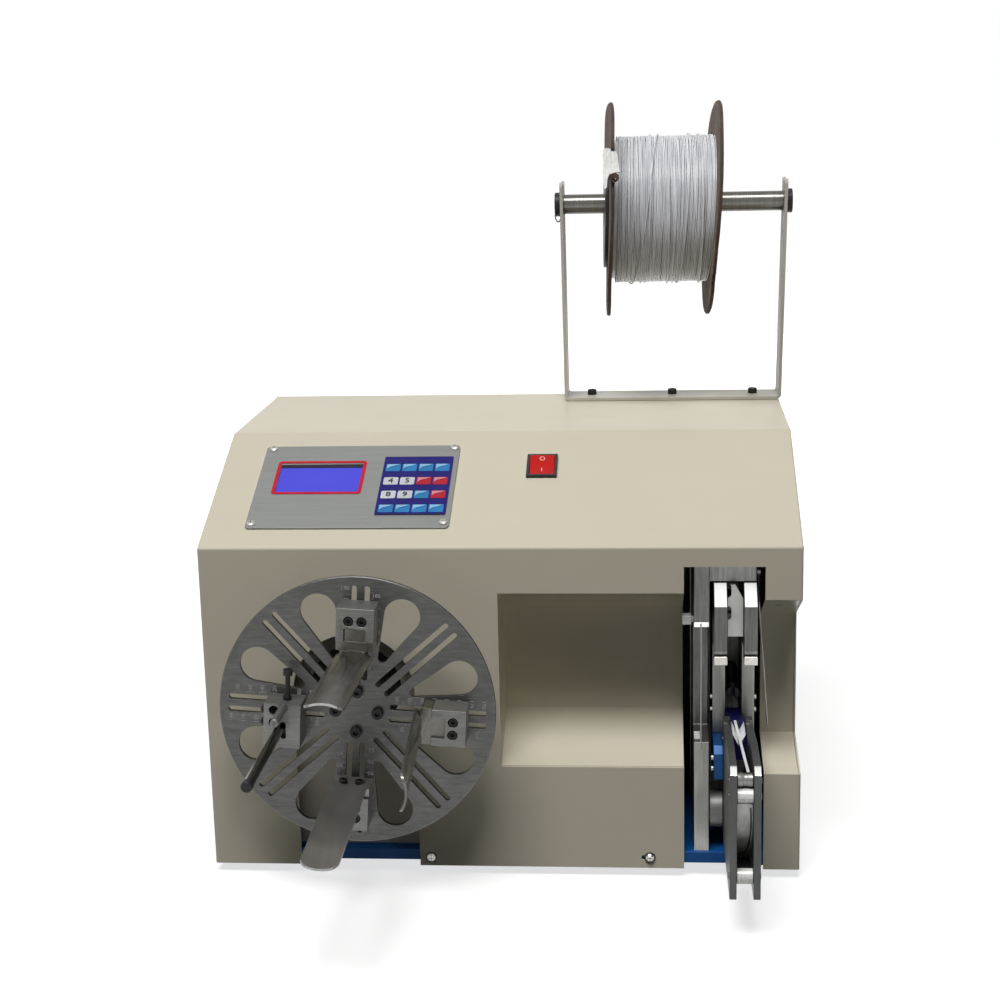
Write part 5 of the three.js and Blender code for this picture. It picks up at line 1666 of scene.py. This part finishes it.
            # The lower finger's blade is drawn paler as painted light; the top and lower fingers' rims and
            # front ends get the painted highlight.
            blade = LIGHTER_LIT_BLADE if side == "bottom" else BLADE_STEEL
            bright = BLADE_STEEL if side == "right" else RIM_HIGHLIGHT
            two_tone(f"finger_{side}", blade, 0.85, (0, -1, 0), bright, 0.95, rim=1, reach=self.blade_end)
        self.cable_clamp()
        self.clamp_screws()
        dressed("winding_hub", DARK_STEEL, 0.5)
        dressed("gearmotor_bracket", PORT_PLATE, 0.6)
        dressed("winding_gearmotor", MOTOR_BLACK, 0.8)


# Reel and its stand


@dataclass
class ReelStand:
    """The bent bracket, the shaft with its collars, and the reel of tie wire.

    Attributes:
        lean: Lean of the left and the right flange, in degrees.
        worn: How much wider than high the worn bore is, which leaves the turned reel clear of its shaft.
        warp: How much the left flange's upper rear part has warped outwards.
        torn: Both ends of each flange's torn sector, in degrees, and the share of the radius left there.
        curl_place: X and Z of the curled strip's middle.
        curl_turns: Where it starts and how far it winds, in degrees.
        curl_reach: Its inner radius, and how much more that is at its start.
        curl_thick: Half its thickness.
        curl_flat: Its height as a share of its width.
        crossings: Strands across the others: start and end as shares of the width, and where they start.
    """

    shaft_radius: float = 9.2
    collar: float = 11.2
    lean: Flat = (1.25, 3.1)
    board: float = 3.6
    rim_seeds: Flat = (3.1, 8.4)
    inner: float = 15.4
    worn: float = 1.2
    warp: float = 0.045
    yaw: float = 2.6
    torn: dict[str, Point] = field(
        default_factory=lambda: {"left": (291, 307, 0.8), "right": (226, 236, 0.95)})
    ply: tuple[Flat, ...] = (
        (-4.5, 14.7), (-2.3, 17), (2.4, 15.4), (7.1, 12.6), (8.4, 6.5), (9, 0.3), (9.9, -6), (10.4, -12),
        (5.1, -12.5), (1, -14.4), (-0.6, -20), (-1.1, -29), (-3.2, -31.8), (-4.3, -22.6), (-4.7, -12),
        (-4.4, -2.9), (-5, 6))
    ply_place: Point = (88, 62, 566)
    ply_lean: float = -44
    curl_place: Flat = (93.2, 552.4)
    curl_span: Flat = (50, 63.5)
    curl_turns: Flat = (200, 560)
    curl_reach: Flat = (1.1, 3.2)
    curl_thick: float = 1.05
    curl_flat: float = 0.94
    curl_slip: float = 2.5
    wire: float = 1.35
    turns: int = 64
    steps: int = 56
    crossings: tuple[Point, ...] = (
        (-0.03, -0.4, 150), (0.3, 0.16, 160), (0.36, 0.44, 140), (-0.3, -0.12, 10), (0.1, 0.3, 330),
        (-0.14, -0.2, 175), (0.02, 0.1, 60))
    crossing_steps: int = 40

    def yawed(self, source: Solid) -> Solid:
        """Turns a piece of the reel as the loose reel sits on its shaft."""
        low, high = box_mm("reel_core")
        middle = (low + high) / 2
        turn = Matrix.Rotation(radians(self.yaw), 4, "Z")
        return place_mesh(source, Matrix.Translation(middle) @ turn @ Matrix.Translation(-middle))

    def shaft(self) -> None:
        """Builds the shaft and the collars with their groove and bore."""
        length = round_place("reel_shaft", Axis.X)[1]
        lathed("reel_shaft", Axis.X, barrel(self.shaft_radius, length, 0.8), CHROME, 72)
        bore, outer = self.shaft_radius + 0.15, self.collar
        for side in ("left", "right"):
            width = round_place(f"shaft_collar_{side}", Axis.X)[1]
            ring = [(bore, 0.3), (bore + 0.3, 0), (outer - 0.6, 0), (outer, 0.5), (outer, width - 0.5),
                    (outer - 0.6, width), (bore + 0.3, width), (bore, width - 0.3), (bore, 0.3)]
            lathed(f"shaft_collar_{side}", Axis.X, ring, BLACK_OXIDE)

    def wire_ring(self) -> None:
        """Bends the small black wire loop that hangs under the left collar."""
        low, high = box_mm("shaft_collar_left")
        x, y, z = (low.x + high.x) / 2, low.y + 3, low.z
        points = [(x - 2.0, y, z + 2.4), (x - 1.6, y - 0.5, z - 1.5), (x + 0.6, y - 0.4, z - 4.4),
                  (x + 2.6, y, z - 2.6), (x + 3.4, y + 0.6, z + 2.0)]
        fitted(tube(smooth_line(points, 6), 0.55, "collar_wire_loop"), BLACK_OXIDE)

    def flange(self, side: str) -> None:
        """Builds a flange: a leaning disc of pressed board with a rough, split and slightly bent rim.

        Args:
            side: left or right.
        """
        low, high = box_mm(f"reel_flange_{side}")
        which = 0 if side == "left" else 1
        seed = self.rim_seeds[which]
        radius = (high.y - low.y) / 2
        half = self.board / 2
        first_torn, last_torn, left_over = self.torn[side]
        levels = [(self.inner, -half), (radius * 0.6, -half), (radius - 6, -half),
                  (radius - 0.9, -half * 0.86), (radius, -half * 0.2), (radius - 0.3, half * 0.15),
                  (radius, half * 0.5),
                  (radius - 0.8, half * 0.9), (radius - 6, half), (radius * 0.6, half), (self.inner, half)]
        bm = bmesh.new()
        rings = []
        steps = 240
        for out, along in levels:
            ring = []
            share = max(0.0, (out - radius * 0.6) / (radius * 0.4))
            worn = self.worn if out == self.inner else 1.0
            for step in range(steps):
                turn = tau * step / steps
                rough = sin(turn * 7 + seed) * 0.3 + sin(turn * 19 + seed * 2) * 0.16
                rough += sin(turn * 61 + seed) * 0.2
                grown = out - share * abs(rough) * 1.3
                if first_torn < degrees(turn) < last_torn:
                    ragged = radius * (left_over + 0.03 * sin(step * 2.3)) - (radius - out) * 0.05
                    grown = min(grown, ragged)
                bent = along + share * (sin(turn * 2 + seed) * 0.7 + sin(turn * 5 + seed) * 0.35)
                if side == "left":
                    bent -= max(0.0, cos(turn)) * max(0.0, grown * sin(turn)) * self.warp
                ring.append(bm.verts.new((bent, worn * grown * sin(turn), grown * cos(turn))))
            rings.append(ring)
        for number, face in enumerate(bridged(bm, rings + rings[:1])):
            face.material_index = 1 if 3 <= number // steps <= 6 else 0
        lean = Matrix.Rotation(radians(self.lean[which]), 4, "Y")
        bmesh.ops.transform(bm, matrix=Matrix.Translation((low + high) / 2) @ lean, verts=bm.verts)
        made = self.yawed(to_object(bm, f"reel_flange_{side}_shown", 50))
        fitted(coloured(made, CARDBOARD, BOARD_EDGE), CARDBOARD, f"reel_flange_{side}")

    def torn_board(self) -> None:
        """Adds what hangs from the left flange's tear: the peeled white ply and the curled strip of board."""
        sheet = softened(prism(self.ply, (-0.5, 0.5), Axis.Y, "peeled_ply"), 0.3)
        place = Matrix.Translation(self.ply_place) @ Matrix.Rotation(radians(self.ply_lean), 4, "X")
        fitted(place_mesh(sheet, place), PALE_BOARD, body="reel")
        front, rear = self.curl_span
        thick = self.curl_thick
        bm = bmesh.new()
        rings = []
        steps = 52
        for step in range(steps + 1):
            share = step / steps
            turn = radians(self.curl_turns[0] - self.curl_turns[1] * share)
            reach = self.curl_reach[0] + self.curl_reach[1] * (1 - share)
            ring = []
            for half, y in ((thick, front), (thick, rear), (-thick, rear), (-thick, front)):
                out = reach + half
                x = self.curl_place[0] + out * cos(turn)
                z = self.curl_place[1] + out * self.curl_flat * sin(turn)
                ring.append(bm.verts.new((x, y - self.curl_slip * share, z)))
            rings.append(ring)
        fitted(swept(bm, rings, "curled_board_strip", 40), BOARD_EDGE, body="reel")

    def winding(self) -> None:
        """Winds the wire: turns side by side from a tree, which wander a little along and off the reel."""
        low, high = box_mm("wound_wire")
        left, right = box_mm("reel_core")
        tool = NodeTool("wound_wire_tree")
        turns = tool.named("Turns", self.turns)
        around = tool.named("Points in a turn", self.steps)
        span = tool.named("Winding width", (right.x - left.x - 8.2) * MM)
        size = tool.named("Winding radius", ((high.y - low.y) / 2 - self.wire / 2) * MM)
        thick = tool.named("Wire radius", self.wire / 2 * MM)
        wander = tool.named("Wander", 0.9 * MM)
        lean_left = tool.named("Left lean", tan(radians(self.lean[0])))
        lean_right = tool.named("Right lean", tan(radians(self.lean[1])))
        total = tool.times(turns, around)
        share = tool.math("DIVIDE", tool.out("GeometryNodeInputIndex"), total)
        angle = tool.times(share, tool.times(turns, tau))
        y, z = tool.math("SINE", angle), tool.math("COSINE", angle)
        lean = tool.plus(lean_left, tool.times(share, tool.minus(lean_right, lean_left)))
        noises = []
        for near, far in ((1.1, 31.0), (2.3, 47.0)):
            spot = tool.vector(tool.times(y, near), tool.times(z, near), tool.times(share, far))
            noises.append(tool.out("ShaderNodeTexNoise", {"Vector": spot, "Scale": 1.0, "Detail": 2.0}))
        drift, rise = tool.minus(noises[0], 0.5), tool.minus(noises[1], 0.72)
        out = tool.plus(size, tool.times(rise, tool.times(wander, 0.8)))
        height = tool.times(z, out)
        across = tool.plus(tool.times(tool.minus(share, 0.5), span), tool.times(height, lean))
        x = tool.plus(across, tool.times(drift, tool.times(wander, 2.0)))
        line = tool.out("GeometryNodeMeshLine", {"Count": total})
        path = {"Geometry": line, "Position": tool.vector(x, tool.times(y, out), height)}
        curve = tool.out("GeometryNodeMeshToCurve", {0: tool.out("GeometryNodeSetPosition", path)})
        ring = tool.out("GeometryNodeCurvePrimitiveCircle", {"Resolution": 7, "Radius": thick}, mode="RADIUS")
        section = {"Curve": curve, "Profile Curve": ring, "Fill Caps": True}
        skin = tool.moved(tool.out("GeometryNodeCurveToMesh", section), tuple((low + high) / 2 * MM))
        tool.finish(skin, WIRE.material())
        made = tool.run([(0, 0, 0)], "wound_wire_shown", angle=70)
        fitted(self.yawed(made), WIRE, "wound_wire")

    def strays(self) -> None:
        """Lays the few strands that cross over the winding at a slant."""
        low, high = box_mm("wound_wire")
        middle = (low + high) / 2
        radius = (high.y - low.y) / 2 + self.wire * 0.85
        slant = tan(radians(sum(self.lean) / 2))
        parts = []
        for start, end, begin in self.crossings:
            points = []
            for step in range(self.crossing_steps + 1):
                share = step / self.crossing_steps
                turn = radians(begin + 240 * (1 - share))
                sink = self.wire * 1.1 * (1 - min(1.0, share * 7, (1 - share) * 7))
                along = (start + (end - start) * share) * (high.x - low.x - 8)
                along += radius * cos(turn) * slant * (0.6 + start)
                y, z = (radius - sink) * sin(turn), (radius - sink) * cos(turn)
                points.append((middle.x + along, middle.y + y, middle.z + z))
            parts.append(tube(points, self.wire * 0.56, "strand", 7))
        fitted(self.yawed(joined(parts, "crossing_strands")), WIRE, body="reel")

    def core(self) -> None:
        """Dresses the core and the end discs, with their worn bore, and the bracket."""
        low, high = box_mm("reel_core")
        middle = (low + high) / 2 * MM
        finishes = {"reel_core": WIRE, "reel_disc_left": BLACK_PLASTIC_AND_SHADOW, "reel_disc_right": BLACK_PLASTIC_AND_SHADOW}
        for node, finish in finishes.items():
            made = softened(cad_copy(node), 0.4)
            for vertex in made.data.vertices:
                if hypot(vertex.co.y - middle.y, vertex.co.z - middle.z) < (self.inner + 2) * MM:
                    vertex.co.y = middle.y + (vertex.co.y - middle.y) * self.worn
            fitted(self.yawed(made), finish, node)
        dressed("reel_bracket", BRACKET_PAINT, 0.35)

    def build(self) -> None:
        """Builds and dresses the stand and the reel."""
        self.shaft()
        self.wire_ring()
        self.flange("left")
        self.flange("right")
        self.torn_board()
        self.winding()
        self.strays()
        self.core()


# Tying head


@dataclass
class TyingHead:
    """The jaws, the rail, the wire feed, the throat with its groove, and the swinging guide arm.

    Attributes:
        facet: The direction that the bright machined facets face.
        rail_bars: Y of the three bright bars on the rail's lower block.
        rib: Left and right side, lower and upper end of the bright rib on the rail.
        stop: The stop block's left and right side from the rail's left, its lower and its upper end.
        stop_pin: Front, rear, lower and upper end of the pin that holds it.
        lower_jaw: Below this height a jaw is drawn in paler steel, a painted reflection of the floor on its
            lower nose.
        lower_rail: Below this height the rail is drawn in paler steel, a painted reflection of the floor.
        band_groove: X and Z of points of the black line laid along the blade between the arm's plates, a
            painted shadow.
    """

    facet: Point = (0, -0.7071, 0.7071)
    jaw_screws: tuple[Flat, ...] = ((-118, 128), (-118, 117))
    arm_pins: tuple[Flat, ...] = ((-281.9, 105), (-281.9, 39.5), (-281.9, 117.2))
    rail_bars: tuple[float, ...] = (-147.8, -154.2, -160)
    rail_bar: Flat = (2.2, 1.4)
    rail_ledge: float = 106
    rib: Edges = (164.1, 165.3, 99.5, 206)
    stop: Edges = (-9.4, -2, 203.5, 211)
    stop_pin: Edges = (-157.5, -152.5, 205, 209.5)
    # Lower and upper end of the bright zinc band round each jaw's nose: a painted reflection of the floor.
    pad: Flat = (172, 179.4)
    lower_jaw: float = 184
    lower_rail: float = 107
    band_groove: tuple[Flat, ...] = (
        (199.5, 95.2), (200, 85), (200, 75.7), (199.2, 63.5), (197.5, 53.6), (195.3, 49.5), (191.5, 48.2))

    def plates(self) -> None:
        """Dresses the jaws, the rail and what ties them together."""
        # Each jaw is drawn paler below its nose and gets a bright zinc band there: painted reflection of the
        # floor.
        nose_reflection_bands = []
        for node in ("jaw_left", "jaw_right"):
            two_tone(node, DARK_STEEL, 0.4, self.facet, below=self.lower_jaw, tip=(0, -0.6, 0))
            low, high = box_mm(node)
            outline = rectangle(low.x - 0.2, high.x + 0.2, *self.pad)
            nose_reflection_bands.append(prism(outline, (low.y - 0.4, low.y + 20), Axis.Y, "pad"))
        fitted(softened(joined(nose_reflection_bands, "jaw_nose_painted_reflection"), 0.7, 3), BRIGHT_ZINC_AND_REFLECTION)
        down = (0, self.facet[1], -self.facet[2])
        # The rail's lower block is drawn in paler steel below that height: painted reflection of the floor.
        two_tone("guide_rail", DARK_STEEL, 0.5, down, least=0.8, below=self.lower_rail, tip=(0, -1, 0))
        dressed("cross_block", GROUND_STEEL, 0.5)
        dressed("wire_plate", PALE_PLATE, 0.25)
        dressed("head_frame", GROUND_STEEL, 0.6)
        throat = coloured(cad_copy("throat_block"), NAVY, WHITE_PLASTIC_AND_HIGHLIGHT)
        # The groove faces that look up and sideways are drawn white on the navy block: painted highlight
        # where the light from above falls.
        for face in throat.data.polygons:
            if abs(face.normal.x) > 0.5 and face.normal.z > 0.3:
                face.material_index = 1
        fitted(softened(throat, 0.4), NAVY, "throat_block")
        dressed("coupler_block", ANODISED, 0.5)

    def rail_trim(self) -> None:
        """Adds the rail's bright rib, its three bars and the white stop block beside it."""
        low, _ = box_mm("guide_rail")
        rib = prism(rectangle(*self.rib), (low.y - 1.2, low.y + 0.2), Axis.Y, "rail_rib")
        fitted(softened(rib, 0.25), PALE_STEEL_AND_REFLECTION)
        depth, rise = self.rail_bar
        span = (low.x + 0.4, self.rib[0])
        outlines = [rectangle(back - depth, back, self.rail_ledge - 0.2, self.rail_ledge + rise)
                    for back in self.rail_bars]
        # The rail's three machined bars are drawn white: painted highlight on their lit tops.
        bars = [prism(outline, span, Axis.X, "bar") for outline in outlines]
        fitted(softened(joined(bars, "rail_bars"), 0.3), WHITE_PLASTIC_AND_HIGHLIGHT)
        left, right, foot, top = self.stop
        block = prism(rectangle(low.x + left, low.x + right, foot, top), (-160, -150), Axis.Y, "block")
        pin = prism(rectangle(*self.stop_pin), (low.x - 2.2, low.x + 0.1), Axis.X, "pin")
        fitted(softened(joined([block, pin], "rail_stop"), 0.6, 3), WHITE_PLASTIC_AND_HIGHLIGHT)

    def fasteners(self) -> None:
        """Puts in the small screws of the jaws, the coupler and the arm."""
        small = ScrewKind("head_cap_screw", BRIGHT_ZINC_AND_REFLECTION, 2.4, 2.0, 1.2)
        sides = ((box_mm("jaw_left")[0].x, -1), (box_mm("jaw_right")[1].x, 1))
        places = [((x, y, z), (way, 0, 0)) for x, way in sides for y, z in self.jaw_screws]
        low, _ = box_mm("coupler_block")
        places += [((low.x, low.y + 7, z), (-1, 0, 0)) for z in (low.z + 7.5, low.z + 17)]
        small.fit(places, "head_screws")
        flat = ScrewKind("arm_pin_screw", DARK_STEEL, 2.6, 0.7, 1.3)
        sides = ((box_mm("arm_plate_right")[1].x, 1), (box_mm("arm_plate_left")[0].x, -1))
        places = [((x, y, z), (way, 0, 0)) for x, way in sides for y, z in self.arm_pins]
        flat.fit(places, "arm_screws", "guide_arm")

    def feed(self) -> None:
        """Builds the feed rollers, the spindle, the motor and the boss."""
        for node in ("feed_roller_drive", "feed_roller_idler"):
            _, width, radius = round_place(node, Axis.X)
            groove = [(radius, width / 2 - 1), (radius - 0.9, width / 2), (radius, width / 2 + 1)]
            lathed(node, Axis.X, barrel(radius, width, 0.8, groove), DARK_STEEL, 48)
        dressed("twist_spindle", BLACK_OXIDE, 0.3)
        dressed("twist_motor", MOTOR_BLACK, 0.8)
        _, width, radius = round_place("pivot_boss", Axis.X)
        lathed("pivot_boss", Axis.X, barrel(radius, width, 0.8), MILLED)

    def arm(self) -> None:
        """Dresses the guide arm, its band and its roller, and the white strip between its plates."""
        for node in ("arm_plate_left", "arm_plate_right"):
            two_tone(node, ARM_GREY, 0.35, self.facet, least=0.92)
        # The band's upturned facets get the painted highlight.
        two_tone("guide_band", PALE_STEEL_AND_REFLECTION, 0.25, self.facet, RIM_HIGHLIGHT, 0.8)
        # A black tube along the band's face: painted shadow between the arm's plates.
        line = [surface_at("guide_band", (x, -320, z), (0, 1, 0))[0] for x, z in self.band_groove]
        fitted(tube(smooth_line(line, 5), 0.6, "band_groove"), BLACK_PLASTIC_AND_SHADOW, body="guide_arm")
        _, width, radius = round_place("nose_roller", Axis.X)
        low = radius - 0.4
        groove = [(radius, width * 0.3), (low, width * 0.36), (low, width * 0.64), (radius, width * 0.7)]
        lathed("nose_roller", Axis.X, barrel(radius, width, 0.5, groove), GROUND_STEEL, 48)
        dressed("tie_strip", WHITE_PLASTIC_AND_HIGHLIGHT, 0.15)

    def build(self) -> None:
        """Builds and dresses the head, with the trigger's spring whisker."""
        self.plates()
        self.rail_trim()
        self.fasteners()
        self.feed()
        self.arm()
        dressed("trigger_whisker", GROUND_STEEL, 0.1)


# Studio


@dataclass
class Studio:
    """The floor, the light and the camera.

    Attributes:
        focal: Focal length in pixels of a frame 1000 wide.
        bright_from: Where the floor's backdrop starts and ends to grow white, from the middle.
    """

    eye: Point = (0.12809, -1.60051, 0.64075)
    yaw: float = -0.0866
    pitch: float = 0.2257
    roll: float = -0.0241
    focal: float = 1833.02
    floor: float = -0.012
    floor_radius: float = 14
    bright_from: Flat = (0.35, 1.6)
    lamp_place: Point = (-0.45, -1.9, 4.6)
    lamp_aim: Point = (0.0, -0.1, 0.2)
    lamp_size: Flat = (2.9, 1.75)
    lamp_power: float = 217
    back_place: Point = (0.9, 2.9, 0.55)
    back_power: float = 34
    fill: float = 0.02

    def camera(self) -> None:
        """Sets the camera at the photograph's place."""
        turn = Matrix.Rotation(self.roll, 3, "Y") @ Matrix.Rotation(self.pitch, 3, "X")
        right, ahead, up = (turn @ Matrix.Rotation(self.yaw, 3, "Z")).transposed().col
        data = bpy.data.cameras.new("camera")
        data.sensor_width = 36
        data.lens = self.focal * data.sensor_width / 1000
        data.clip_start = 0.05
        data.clip_end = 30
        made = into_scene("camera", data)
        matrix = Matrix.Identity(4)
        for row in range(3):
            matrix[row][0], matrix[row][1], matrix[row][2] = right[row], up[row], -ahead[row]
        matrix.translation = Vector(self.eye)
        made.matrix_world = matrix
        bpy.context.scene.camera = made

    def floor_and_backdrop(self) -> None:
        """Lays the pale floor, white to the camera but for the machine's soft shadow."""
        bm = bmesh.new()
        bmesh.ops.create_circle(bm, cap_ends=True, segments=96, radius=self.floor_radius)
        bmesh.ops.translate(bm, vec=(0, 0, self.floor), verts=bm.verts)
        made = into_scene("floor", to_mesh(bm, "floor"))
        graph = Graph("pale_floor")
        ray, seen = graph.direct_ray()
        away = graph.node("ShaderNodeVectorMath", {0: graph.place()}, operation="LENGTH").outputs["Value"]
        start, end = self.bright_from
        growth = {"Value": away, "From Min": start, "From Max": end, "To Min": 0.7, "To Max": 1.0}
        glow = graph.node("ShaderNodeMapRange", growth).outputs["Result"]
        level = graph.math("MAXIMUM", glow, ray.outputs["Is Glossy Ray"])
        dim = graph.out("ShaderNodeBsdfDiffuse", {"Color": srgb(80, 80, 80)})
        pale = graph.out("ShaderNodeBsdfDiffuse", {"Color": srgb(190, 190, 190)})
        shine = graph.out("ShaderNodeEmission", {"Color": (1, 1, 1, 1), "Strength": level})
        lit = graph.out("ShaderNodeAddShader", {0: pale, 1: shine})
        mixed = graph.out("ShaderNodeMixShader", {0: seen, 1: dim, 2: lit})
        graph.fill(graph.tree.nodes["Material Output"].inputs["Surface"], mixed)
        made.data.materials.append(graph.material)

    def light(self) -> None:
        """Hangs the soft light above and before the machine, and sets the even light from all round."""
        lamps = (("overhead", self.lamp_place, self.lamp_power), ("behind", self.back_place, self.back_power))
        for name, spot, power in lamps:
            lamp = bpy.data.lights.new(name, "AREA")
            lamp.shape = "RECTANGLE"
            lamp.size, lamp.size_y = self.lamp_size
            lamp.energy = power
            made = into_scene(name, lamp)
            aim = (Vector(self.lamp_aim) - Vector(spot)).to_track_quat("-Z", "Y")
            made.matrix_world = Matrix.Translation(spot) @ aim.to_matrix().to_4x4()
            made.visible_glossy = name == "overhead"
        world = bpy.data.worlds.new("studio")
        world.use_nodes = True
        bpy.context.scene.world = world
        sky = Tree(world.node_tree)
        _, seen = sky.direct_ray()
        strength = sky.node("ShaderNodeMapRange", {"Value": seen, "To Min": self.fill, "To Max": 1.0})
        background = sky.tree.nodes["Background"]
        sky.fill(background.inputs["Strength"], strength.outputs["Result"])
        sky.fill(background.inputs["Color"], (1, 1, 1, 1))

    def build(self) -> None:
        """Sets up the studio."""
        self.camera()
        self.floor_and_backdrop()
        self.light()
        bpy.context.scene.view_settings.view_transform = "Standard"


def main() -> None:
    """Builds the studio and the machine, one sub-assembly after another."""
    logging.basicConfig(level=logging.INFO, format="%(message)s")
    Studio().build()
    housing = Housing()
    for part in (housing, ControlPanel(housing), WindingUnit(), ReelStand(), TyingHead()):
        LOG.info("building %s", type(part).__name__)
        part.build()


if __name__ == "__main__":
    main()
